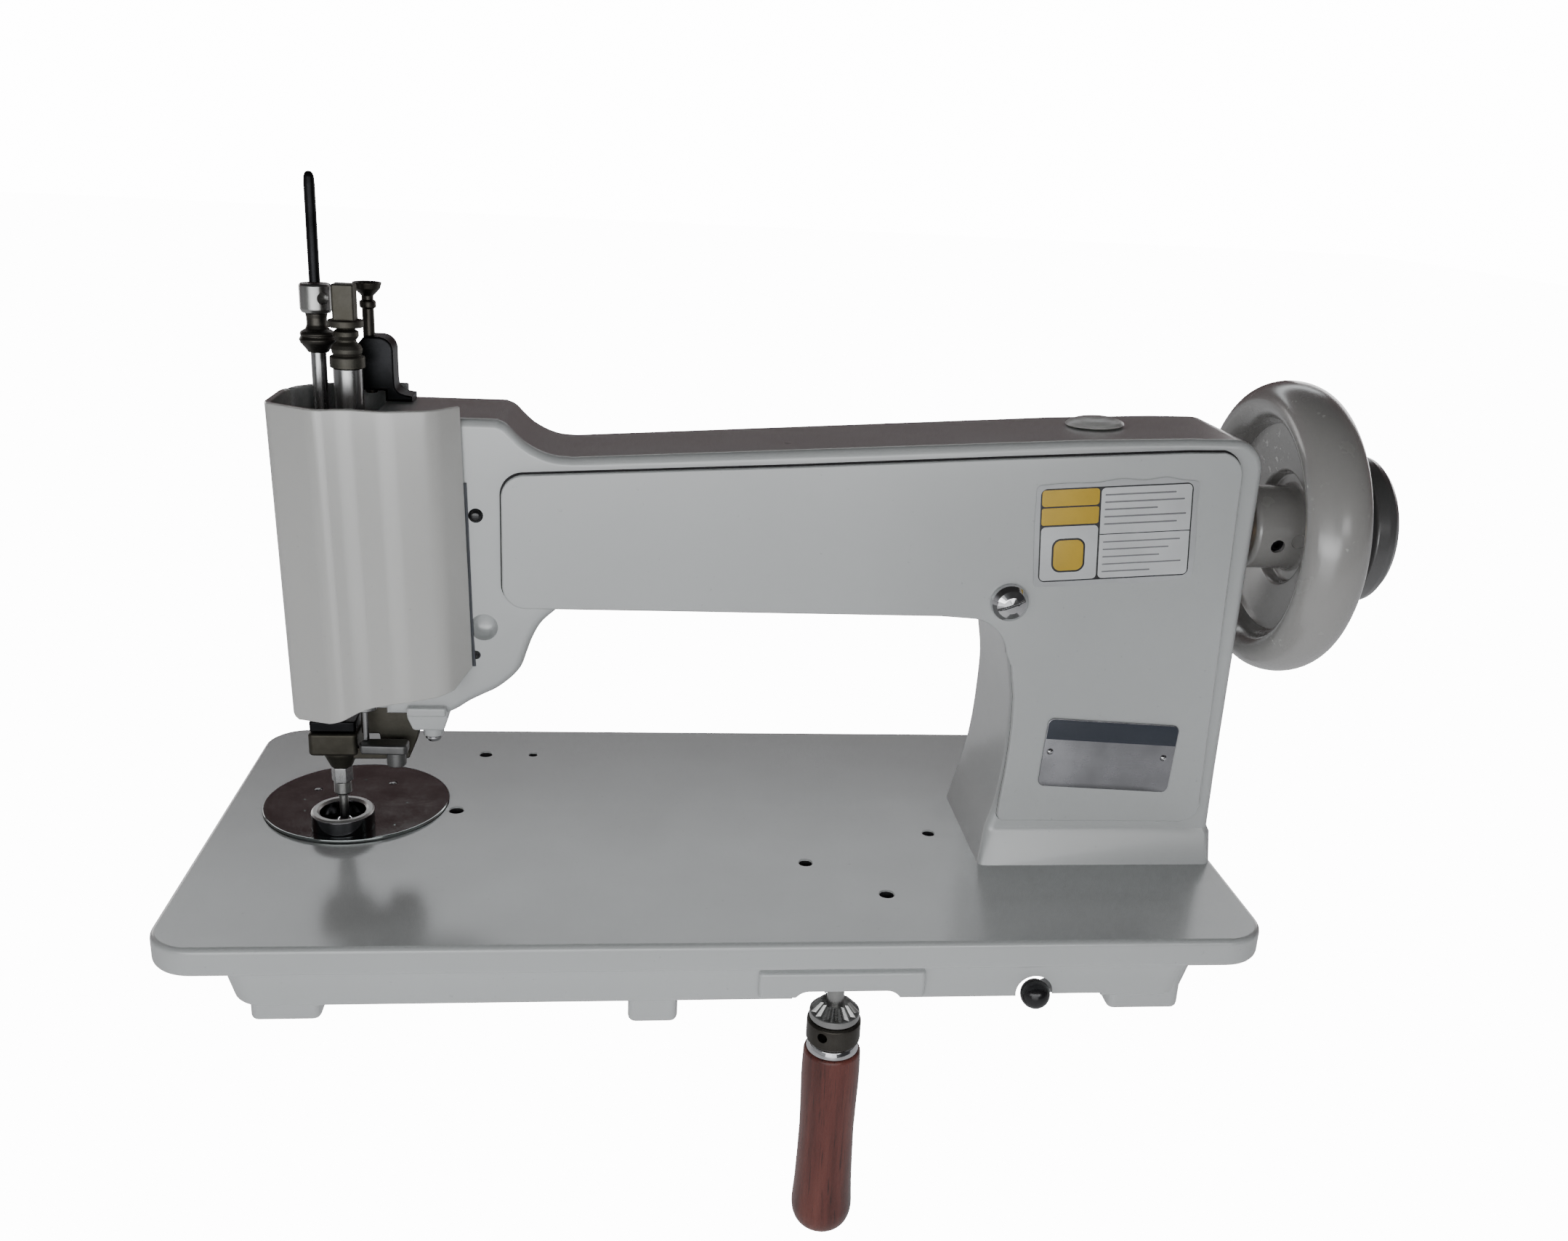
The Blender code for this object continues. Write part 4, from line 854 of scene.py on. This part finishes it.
def make_needle_bar():
    """Needle bar, needle, the slim rod on top, collar, flanged spool and crosshead."""
    finished(rod("bar", BAR_R, 54.2, 266, NEEDLE, look=GROUND), "needle_bar")
    tip = [(0, 53.9), (0.9, 53.9), (0.9, 6), (0.55, 0), (0.12, -4), (0, -4)]
    finished(lathe("needle_shape", tip, NEEDLE, look=CHROME, steps=24, ease=0.1), "needle")
    slim = [(0, 311), (1.4, 310.6), (2.1, 308.8), (2.3, 306), (2.3, 266.3), (0, 266.3)]
    finished(lathe("slim_rod", slim, NEEDLE, look=BLACKED, steps=40, ease=0.4), "top_rod")
    bore = BAR_R + 0.25
    spool = [(bore, 253.8), (4.6, 253.8), (4.2, 252), (4.2, 249), (4.9, 247.4), (6.9, 246.2), (7.3, 245.2),
             (6.9, 244.5),
             (7.2, 243.9), (7.7, 243.0), (7.2, 241.6), (5.2, 239.2), (4.2, 237.6), (bore, 237.6)]
    finished(lathe("spool", spool, NEEDLE, look=GUNMETAL, ring=True, ease=0.35), "spool_collar")
    cap = [(bore, 266.2), (5.9, 266.2), (6.6, 265.4), (6.6, 255.6), (5.8, 254.1), (bore, 254.1)]
    collar = lathe("collar", cap, NEEDLE, look=TURNED, ring=True, ease=0.4)
    facing = turned_about(rod("hole", 2.6, 4.4, 12, (*NEEDLE[:2], 260.4), "Y", ease=0), NEEDLE, 40, "Z")
    finished(carve(collar, facing), "top_collar")
    middle = CRANK_Z - ROD_LENGTH
    clamp = sleeve("clamp", bore, 6.2, middle - 5, middle + 5, NEEDLE, look=GROUND, ease=0.6)
    side = box("arm_of_clamp", (NEEDLE[0] + 4.5, AXIS_Y - 3, middle - 3.5),
               (-156.2, AXIS_Y + 3, middle + 3.5), edge=0.6)
    finished(carve(clamp, side, operation="UNION"), "needle_bar_crosshead")


def make_presser():
    """Presser tube with its stack, and the foot block, lever, nut and nipple at its lower end."""
    tube = [(0, 233), (6.0, 233), (6.0, 79), (1.4, 78.6), (1.4, 63.3), (0, 63.3)]
    finished(lathe("tube", tube, PRESSER, look=GROUND, steps=56, ease=0.5), "presser_tube")
    stack = [(0, 253), (6.9, 253), (7.2, 252.6), (7.2, 250.3), (6.9, 249.9), (3.6, 249.9), (3.4, 249.4),
             (5.0, 248.2),
             (5.2, 246.4), (4.0, 244.6), (4.2, 243.8), (5.6, 242.6), (6.4, 241), (6.2, 239.4), (5.6, 238.4),
             (6.9, 238.0),
             (7.2, 237.5), (7.2, 233.4), (7.0, 233.3), (0, 233.3)]
    pile = lathe("stack", stack, PRESSER, look=DULL_IRON, ease=0.25)
    x, y = PRESSER[:2]
    head = box("stack_head", (x - 4.6, y - 4.5, 252.5), (x + 4.4, y + 4.5, 267.6), edge=0.7, corner=1.0)
    finished(carve(pile, head, operation="UNION"), "presser_stack")
    arm = [(-166, 87.5), (-164.5, 84), (-145.5, 83), (-143.9, 84.5), (-143.9, 91), (-145.5, 92.5),
           (-164, 92.5)]
    lever = prism("lever", [eased(arm, 0.8, True)], 58.5, 63.0, look=BAR_GREY, edge=0.9, rings=2)
    screw = rod("lever_screw", 4.4, 52.2, 58.9, (-149.4, 87.6, 0), ease=0.7)
    finished(carve(lever, screw, operation="UNION"), "feed_lever")
    foot = box("foot_shape", (-189.5, 90.5, 54.5), (-167.5, 112, 65.5), OLIVE_IRON, 1.4, 2.4)
    reach = box("foot_reach", (-170, 92.6, 52.4), (-145.5, 97.0, 57.9), edge=0.6)
    cone = lathe("foot_boss", [(0, 56), (8.2, 56), (8.2, 53), (5.4, 46.8), (5.0, 45.7), (0, 45.7)], NEEDLE,
                 ease=0.8)
    carve(foot, reach, cone, operation="UNION")
    finished(carve(foot, rod("bore", 4.3, 40, 80, NEEDLE, ease=0)), "foot_block")
    cap = box("cap_shape", (-188.9, 92.0, 65.8), (-168.1, 111, 71.0), BLACKED, 0.8, 1.5)
    finished(carve(cap, rod("bore", 4.3, 40, 80, NEEDLE, ease=0)), "foot_block_cap")
    nut = sleeve("nut", 2.3, 5.0, 38.0, 45.4, NEEDLE, look=GROUND, steps=6, ease=0)
    finished(soften(nut, 0.3, 2), "foot_nut")
    tube = [(1.35, 37.7), (4.0, 37.7), (4.0, 32.2), (3.2, 31.2), (2.1, 30.9), (2.1, 17.5), (1.35, 17.5)]
    finished(lathe("nipple_tube", tube, NEEDLE, look=TURNED, ring=True, ease=0.3), "nipple")


def make_head_fittings():
    """Bushings, the black bracket with its cupped post, and the leaning bracket under the head."""
    for node, low, high in (("needle_bushing_upper", 195, 210), ("needle_bushing_lower", 80, 95)):
        finished(sleeve(node + "_shape", BAR_R + 0.1, 5.0, low, high, NEEDLE, look=BRONZE, steps=40), node)
    outline = [(-161, 221.5), (-161, 241.5), (-158.5, 244.5), *arc((-152.5, 238.5), 6, 90, 0, 10),
               *flowing([(-146.5, 230), (-146.3, 224), (-145.4, 221.6), (-143, 220.2), (-139, 219.4)]),
               (-139, 217.1),
               (-150.4, 217.1), (-150.4, 221.5)]
    bracket = prism("bracket", [outline], 103, 117.4, "Y", BLACKED, 1.0)
    finished(carve(bracket, rod("bore", 2.8, 210, 260, POST, ease=0)), "top_bracket")
    cup = [(0, 264.2), (3.4, 264.8), (5.2, 266.6), (5.7, 266.9), (6.1, 266.6), (5.4, 264.2), (3.8, 262.4),
           (2.5, 261.2),
           (2.5, 259.4), (3.4, 258.9), (3.5, 257.6), (3.4, 256.3), (2.5, 255.8), (2.5, 220), (0, 220)]
    finished(lathe("post", cup, POST, look=GUNMETAL, ease=0.25), "tension_post")
    plan = [(-166.6, 81.7), (-147.5, 81.7), (-147.5, 75.5), (-140.0, 66.5), (-141.5, 60), (-145.5, 50.5),
            (-157.5, 50.5), (-158.5, 63), (-166.6, 63)]
    finished(prism("hanger", [eased(plan, 0.8, True)], 97.6, 107, "Y", OLIVE_IRON, 0.7), "feed_bracket")


# ---- gears and shafts ----------------------------------------------------------------------------------
def bevel_gear(name, centre, towards, look, hub=(7.0, 6.0), teeth=16):
    """A 45-degree bevel gear with its hub, its teeth tapering towards the crossing of the shafts."""
    width, depth, clear = 4.5, 1.8, 0.35
    outer = GEAR_R - clear
    work = bmesh.new()
    rows = []
    for height, radius in ((GEAR_R - width, outer - width), (GEAR_R, outer)):
        tooth = depth * radius / outer
        row = []
        for step in range(6 * teeth):
            low = (1.0, 1.0, 0.5, 0.0, 0.0, 0.5)[step % 6] * tooth
            turn = 2 * math.pi * (step + 0.5) / (6 * teeth)
            row.append(work.verts.new(((radius - low) * math.cos(turn) * MM,
                                       (radius - low) * math.sin(turn) * MM,
                                       height * MM)))
        rows.append(row)
    for i in range(6 * teeth):
        after = (i + 1) % (6 * teeth)
        work.faces.new((rows[0][i], rows[0][after], rows[1][after], rows[1][i]))
    work.faces.new(rows[0])
    work.faces.new(rows[1])
    bmesh.ops.recalc_face_normals(work, faces=work.faces)
    gear = piece(name, as_mesh(name, work), look)
    boss = rod("hub", hub[0], GEAR_R - 0.1, GEAR_R + hub[1], (0, 0, 0), ease=0.8)
    carve(gear, boss, operation="UNION")
    facing = Vector(towards).to_track_quat("Z", "Y").to_matrix().to_4x4()
    gear.data.transform(Matrix.Translation(Vector(centre) * MM) @ facing)
    return gear


def with_gears(shaft, node, *gears):
    """Join gears to a shaft and let it stand for its node."""
    for gear in gears:
        carve(shaft, gear, operation="UNION")
    return finished(shaft, node, angle=28)


def make_main_shaft():
    """Main shaft with crank, bushings, connecting rod, and its bevel gear."""
    upper = (UPRIGHT_X, AXIS_Y, SHAFT_Z)
    shaft = rod("shaft", 6.0, -146, 306, SHAFT_LINE, "X", TURNED_X)
    with_gears(shaft, "main_shaft", bevel_gear("gear", upper, (-1, 0, 0), TURNED_X, (8.5, 7)))
    for node, outer, low, high in (("shaft_bushing_left", 9.7, -114, -92),
                                   ("shaft_bushing_right", 11.7, 220, 240)):
        finished(sleeve(node + "_shape", 6.1, outer, low, high, SHAFT_LINE, "X", BRONZE), node)
    disc = [(6.2, -134), (9, -134), (9, -140.5), (14, -140.5), (14, -146.5), (6.2, -146.5)]
    crank = lathe("crank", disc, SHAFT_LINE, "X", GROUND, ring=True, ease=0.5)
    pin = rod("pin", 3.0, -155.2, -143, (0, AXIS_Y, CRANK_Z), "X")
    carve(crank, pin, operation="UNION")
    finished(carve(crank, rod("socket", 6.2, -146.2, -130, SHAFT_LINE, "X", ease=0)), "crank_disc")
    low = CRANK_Z - ROD_LENGTH
    eyes = [*arc((AXIS_Y, CRANK_Z), 6.0, -50, 230, 20), *arc((AXIS_Y, low), 5.4, 130, 410, 20)]
    loops = [eyes, circle((AXIS_Y, CRANK_Z), 3.2, 32), circle((AXIS_Y, low), 2.4, 24)]
    finished(prism("link", loops, -155.4, -150.6, "X", GROUND, 0.5), "connecting_rod")


def make_handwheel():
    """The chunky rim on its web and hub, the set screw, the belt pulley and the end nut."""
    start = 161.6       # degrees: where the rim's round section meets the web on its right
    rim = [(58.5 + 9.8 * math.cos(a), 260 + 14.5 * math.sin(a))
           for a in [math.radians(start - 2 * start * i / 44) for i in range(45)]]
    right = [(6.1, 273), (24, 273), (27, 271.5), (31, 269), (45, 266.4), (48.4, 266.0)]
    left = [(48.4, 257.6), (45, 258.0), (27, 261.4), (26, 263), (25.4, 266), (21, 266), (20, 265),
            (19.7, 262),
            (19.6, 243.4), (18.2, 241.6), (6.1, 241.6)]
    profile = eased(right, 1.2) + rim + eased(left, 0.9)
    wheel = lathe("wheel", profile, SHAFT_LINE, "X", WHEEL_CREAM, 128, ring=True, ease=0)
    screw_at = (252.5, AXIS_Y, SHAFT_Z)
    hole = rod("hole", 3.3, 8, 30, screw_at, "Y", ease=0)
    dimple = lathe("dimple", [(0, 24), (5, 24), (3.4, 19.2), (0, 18.6)],
                   (screw_at[0] + 9.5, AXIS_Y, SHAFT_Z), "Y", ease=0.5)
    screw = rod("set_screw", 3.0, 9, 18.2, screw_at, "Y", BLACKED)
    socket = rod("socket", 1.5, 15.5, 25, screw_at, "Y", steps=6, ease=0)
    carve(screw, socket)
    for item in (hole, screw):
        turned_about(item, SHAFT_LINE, 14, "X")
    turned_about(dimple, SHAFT_LINE, 6, "X")
    finished(carve(wheel, hole, dimple), "handwheel", angle=40)
    finished(screw, "handwheel_screw")
    groove = [(6.2, 305), (25, 305), (31, 303.2), (34, 300.2), (35, 297), (35, 291.6), (34.4, 290.8),
              (25, 287.5),
              (25, 284.5), (34.2, 281), (35, 280.2), (35, 276.8), (33.4, 275.4), (28, 273.4), (6.2, 273.4)]
    finished(lathe("pulley", groove, SHAFT_LINE, "X", PULLEY_GREY, 112, ring=True, ease=0.5), "belt_pulley")
    nut = lathe("end_nut", [(0, 313), (7, 313), (8.5, 311.5), (8.5, 306.3), (0, 306.3)], SHAFT_LINE, "X",
                GROUND, 6,
                ease=0)
    finished(soften(nut, 0.5, 2), "pulley_nut")


def make_lower_drive():
    """Upright shaft in the column and the looper drive shaft in its hanger."""
    top, low = (UPRIGHT_X, AXIS_Y, SHAFT_Z), (UPRIGHT_X, AXIS_Y, LOWER_Z)
    shaft = rod("upright", 4.5, LOWER_Z + 6.5, SHAFT_Z - 7.5, (UPRIGHT_X, AXIS_Y, 0), look=TURNED)
    with_gears(shaft, "upright_shaft", bevel_gear("gear", top, (0, 0, -1), TURNED),
               bevel_gear("gear", low, (0, 0, 1), TURNED))
    line = (0, AXIS_Y, LOWER_Z)
    lower = rod("lower", 4.5, -161, UPRIGHT_X - 6.5, line, "X", TURNED_X)
    cam = rod("cam", 8.0, -160, -150, line, "X")
    with_gears(lower, "lower_shaft", bevel_gear("gear", low, (-1, 0, 0), TURNED_X), cam)
    hanger("lower_bearing", (20, AXIS_Y), LOWER_Z, 4.6, 8.0, "X", 26)


def hanger(node, place_xy, axis_z, bore, radius, axis, width, window=()):
    """A painted bearing that hangs from the bed's underside."""
    x, y = place_xy
    along, across = (x, y) if axis == "X" else (y, x)
    wide = radius + 6
    ear = [*arc((across, axis_z), radius, -180, 0, 24), (across + radius, -6), (across + wide, -5),
           (across + wide, -0.3), (across - wide, -0.3), (across - wide, -5), (across - radius, -6)]
    loops = [eased(ear, 1.0, True), circle((across, axis_z), bore)]
    if window:
        loops.append(circle((across, window[0]), window[1]))
    finished(prism(node + "_shape", loops, along - width / 2, along + width / 2, axis, CREAM, 0.8), node)


def make_looper():
    """The looper tube on the needle axis with its gear, in its bridge."""
    bridge = box("bridge", (-193, 68, -6), (-161, 184, -0.3), CREAM, 1.2, 4)
    carve(bridge, rod("boss", 10.3, -10, 9, NEEDLE, ease=0.6), operation="UNION")
    finished(carve(bridge, rod("bore", 6.15, -20, 20, NEEDLE, ease=0)), "looper_bridge")
    tube = [(2.4, 18.0), (3.4, 18.0), (4.6, 15.5), (4.6, 10.5), (6.0, 9.8), (6.0, -29), (2.4, -29)]
    looper = lathe("looper_shape", tube, NEEDLE, look=CHROME, ring=True)
    carve(looper, bevel_gear("gear", (NEEDLE[0], AXIS_Y, GUIDE_Z), (0, 0, 1), CHROME, (8.5, 4)),
          operation="UNION")
    finished(carve(looper, rod("bore", 2.4, -40, 0, NEEDLE, ease=0)), "looper_tube", angle=28)


def make_steering():
    """The handle under the bed with its gear, and the direction shafts that turn the looper with it."""
    x, y = STEER[:2]
    bearing = [(4.15, -0.3), (17, -0.3), (17, -6), (9, -6.4), (9, -24), (4.15, -24)]
    finished(lathe("bearing_shape", bearing, STEER, look=CREAM, ring=True, ease=0.8), "steering_bearing")
    shaft = rod("steering", 4.0, -76, -1.0, STEER, look=TURNED)
    gear = bevel_gear("gear", (x, y, GUIDE_Z), (0, 0, -1), GUNMETAL, (11.7, 3.6))
    with_gears(shaft, "steering_shaft", gear)
    top = GUIDE_Z - GEAR_R - 3.9
    collar = [(4.2, top), (11.6, top), (12.6, top - 1), (12.6, top - 10.4), (11.8, top - 11.4),
              (4.2, top - 11.4)]
    shape = lathe("collar_shape", collar, STEER, look=GUNMETAL, ring=True, ease=0.3)
    hole = turned_about(rod("hole", 2.4, 6.6, 20, (x, y, top - 4.6), "Y", ease=0), STEER, -32, "Z")
    finished(carve(shape, hole), "steering_collar")
    cap = top - 11.7
    ferrule = [(4.2, cap), (10.2, cap), (11.2, cap - 0.9), (11.8, cap - 2.4), (12.2, cap - 4.2),
               (4.2, cap - 4.2)]
    finished(lathe("ferrule", ferrule, STEER, look=CHROME, ring=True, ease=0.3), "handle_ferrule")
    wood = cap - 4.5
    grip = [(0, wood - 20), (4.2, wood - 20), (4.2, wood), (12.6, wood), (13.3, wood - 1.2),
            (13.6, wood - 10),
            (13.6, wood - 18), (13.2, wood - 32), (13.0, wood - 45), (13.3, wood - 60), (13.8, wood - 75),
            (14.6, wood - 88), (14.2, wood - 92), (13.0, wood - 95.5), (10.8, wood - 98.2),
            (7.0, wood - 99.6),
            (0, wood - 100)]
    finished(lathe("handle", grip, STEER, look=WOOD, steps=80, ease=1.5), "wooden_handle")
    corner = (x, AXIS_Y, GUIDE_Z)
    cross = rod("cross", 3.5, -AXIS_Y + 5.5, -y - 5.5, (x, 0, GUIDE_Z), "Y", GROUND)
    with_gears(cross, "cross_shaft", bevel_gear("gear", (x, y, GUIDE_Z), (0, 1, 0), GROUND),
               bevel_gear("gear", corner, (0, -1, 0), GROUND))
    guide = rod("guide", 3.5, NEEDLE[0] + 5.5, x - 5.5, (0, AXIS_Y, GUIDE_Z), "X", TURNED_X)
    with_gears(guide, "direction_shaft", bevel_gear("gear", corner, (-1, 0, 0), TURNED_X),
               bevel_gear("gear", (NEEDLE[0], AXIS_Y, GUIDE_Z), (1, 0, 0), TURNED_X))
    hanger("cross_bearing", (x, 67), GUIDE_Z, 3.6, 7.5, "Y", 12)
    hanger("direction_bearing", (-70, AXIS_Y), GUIDE_Z, 3.6, 9.5, "X", 14, (LOWER_Z, 6.0))


def make_selector():
    """The flat lever on its pivot screw under the front of the bed, with the ball knob."""
    place = (160, 22, 0)
    outline = [*arc(place[:2], 6, -70, 110, 16), *arc((141, 13.7), 3.2, 120, 270, 12)]
    lever = prism("selector", [outline], -24, -21, look=GROUND, edge=0.6)
    finished(carve(lever, rod("bore", 3.15, -40, 0, place, ease=0)), "selector_lever")
    pivot = [(0, -0.3), (8, -0.3), (8, -5), (5, -6), (5, -20.6), (3.0, -20.6), (3.0, -24.6), (5, -24.6),
             (5, -27), (0, -27)]
    finished(lathe("pivot", pivot, place, look=GUNMETAL), "selector_pivot")
    ball = [(6.6 * math.sin(a), 6.6 * math.cos(a)) for a in [math.pi * i / 28 for i in range(29)]]
    ball[0], ball[-1] = (0, 6.6), (0, -6.6)
    finished(lathe("ball", ball, (137, 4.6, -19.2), look=BLACK_PLASTIC, ease=0), "selector_knob")


for make in (make_bed, make_arm, make_cover_gap_shade, make_panel, make_cover, make_panel_screw, make_nameplate,
             make_label, make_oil_cap,
             make_small_fittings, make_throat, make_needle_bar, make_presser, make_head_fittings,
             make_main_shaft,
             make_handwheel, make_lower_drive, make_looper, make_steering, make_selector):
    make()


# ---- stage: lengths are in metres from here on ---------------------------------------------------------
BACKDROP = (15.0, 15.0, 15.0)   # bright enough to stay near white under the film curve
BACKDROP_SHARE = 0.93           # how much of the floor's own shading the backdrop covers for the camera
FLOOR_HALF = 6.0
FLOOR_FRONT = -1.05             # the floor's front edge, which the enamel reflects as a soft line
FLOOR_Z = -0.26                 # below the end of the handle


def make_floor():
    """A wide pale floor below the handle, that ends about a metre in front of the machine."""
    work = bmesh.new()
    bmesh.ops.create_grid(work, x_segments=8, y_segments=8, size=FLOOR_HALF)
    bmesh.ops.translate(work, verts=work.verts, vec=(0.0, FLOOR_HALF + FLOOR_FRONT, 0.0))
    look = Look("pale_floor", Roughness=0.9, Specular_IOR_Level=0.1, Emission_Color=(0.9, 0.92, 0.95, 1.0),
                Emission_Strength=0.3)
    look.set("Base Color", look.ramp(look.noise(3.0), [(0.3, (0.8, 0.8, 0.8)), (0.7, (0.84, 0.84, 0.84))]))
    glow = look.node("Emission")
    glow.inputs["Color"].default_value = (*BACKDROP, 1.0)
    blend = look.node("MixShader")
    path = look.node("LightPath")
    out = look.tree.nodes["Material Output"]
    look.link(look.math("MULTIPLY", path.outputs["Is Camera Ray"], BACKDROP_SHARE), blend.inputs["Fac"])
    look.link(look.shader.outputs["BSDF"], blend.inputs[1])
    look.link(glow.outputs["Emission"], blend.inputs[2])
    look.link(blend.outputs["Shader"], out.inputs["Surface"])
    floor = piece("floor", as_mesh("floor", work), look.material)
    floor.location = (0.0, 0.0, FLOOR_Z)


# radiance of each part of the room
BELOW = (0.1, 0.1, 0.1)
FRONT_LOW = (0.45, 0.465, 0.475)
HIGH = (0.05, 0.05, 0.05)
LEFT = (0.36, 0.36, 0.37)
RIGHT = (0.05, 0.05, 0.055)
MAUVE = (0.08, 0.052, 0.054)
CEILING = (0.035, 0.035, 0.035)
WINDOW = (2.5, 2.6, 2.65)


def make_world():
    """A soft room: bright low in front, dim right and above, mauve behind with a bright window strip."""
    world = bpy.data.worlds.new("room")
    world.use_nodes = True
    bpy.context.scene.world = world
    graph = Graph(world.node_tree)
    graph.tree.nodes.clear()
    background = graph.node("Background")
    graph.link(background.outputs["Background"], graph.node("OutputWorld").inputs["Surface"])
    split = graph.node("SeparateXYZ")
    graph.link(graph.node("TexCoord").outputs["Generated"], split.inputs["Vector"])
    up, ahead, aside = split.outputs["Z"], split.outputs["Y"], split.outputs["X"]

    def rise(source, start, end):
        """From 0 to 1 while a coordinate of the direction goes from start to end."""
        return graph.span(source, 0.0, 1.0, start, end, "SMOOTHSTEP")

    front = graph.mix(rise(aside, -0.2, 0.6), FRONT_LOW, RIGHT)
    side = graph.mix(rise(aside, -0.3, 0.5), LEFT, RIGHT)
    room = graph.mix(rise(ahead, -0.75, -0.35), front, side)
    room = graph.mix(rise(up, -0.1, -0.02), BELOW, graph.mix(rise(up, 0.0, 0.55), room, HIGH))
    room = graph.mix(rise(ahead, -0.1, 0.4), room, MAUVE)
    room = graph.mix(rise(up, 0.62, 0.8), room, CEILING)
    window = graph.math("MULTIPLY", rise(up, 0.44, 0.462), rise(up, 0.58, 0.55))
    window = graph.math("MULTIPLY", window, rise(ahead, 0.68, 0.74))
    lit = graph.mix(window, room, WINDOW)
    seen = graph.mix(graph.node("LightPath").outputs["Is Camera Ray"], lit, BACKDROP)
    graph.link(seen, background.inputs["Color"])


def add_light(name, place, target, size, power, colour=(1, 1, 1)):
    """A soft rectangular lamp aimed at a point, with its power in watts."""
    data = bpy.data.lights.new(name, "AREA")
    data.shape = "RECTANGLE"
    data.size, data.size_y = size
    data.energy = power
    data.color = colour
    lamp = bpy.data.objects.new(name, data)
    lamp.location = place
    lamp.visible_camera = False
    lamp.rotation_euler = (Vector(target) - Vector(place)).to_track_quat("-Z", "Y").to_euler()
    bpy.context.scene.collection.objects.link(lamp)


def make_camera():
    """The view from the front, a little to the left and above, with the head tipped slightly clockwise."""
    data = bpy.data.cameras.new("camera")
    data.sensor_width = 36.0
    data.lens = 32.0
    camera = bpy.data.objects.new("camera", data)
    camera.location = (-0.0419, -0.512, 0.3286)
    forward = Vector((0.10682, 0.9415, -0.31963))
    roll = Quaternion((0, 0, 1), math.radians(3.0))
    camera.rotation_mode = "QUATERNION"
    camera.rotation_quaternion = forward.to_track_quat("-Z", "Y") @ roll
    bpy.context.scene.collection.objects.link(camera)
    bpy.context.scene.camera = camera


COOL = (0.97, 0.985, 1.0)
make_floor()
make_world()
add_light("key", (-0.8, -2.2, 0.42), (0, 0.08, 0.1), (1.2, 1.0), 2.0)
add_light("near_strip", (-0.1, -0.5, 0.17), (-0.04, 0.1, 0.04), (0.9, 0.16), 1.5, COOL)
add_light("low_fill", (-0.15, -1.0, -0.12), (0, 0.05, 0.06), (0.9, 0.6), 2.5, COOL)
for side in (-1, 1):
    add_light("back_fill", (1.3 * side, 1.5, 0.35), (0, 0.1, 0.1), (0.8, 0.8), 4.5)
add_light("front_strip", (0.9, -1.85, 0.72), (0.17, 0.06, 0.02), (0.65, 0.4), 2.2)
make_camera()
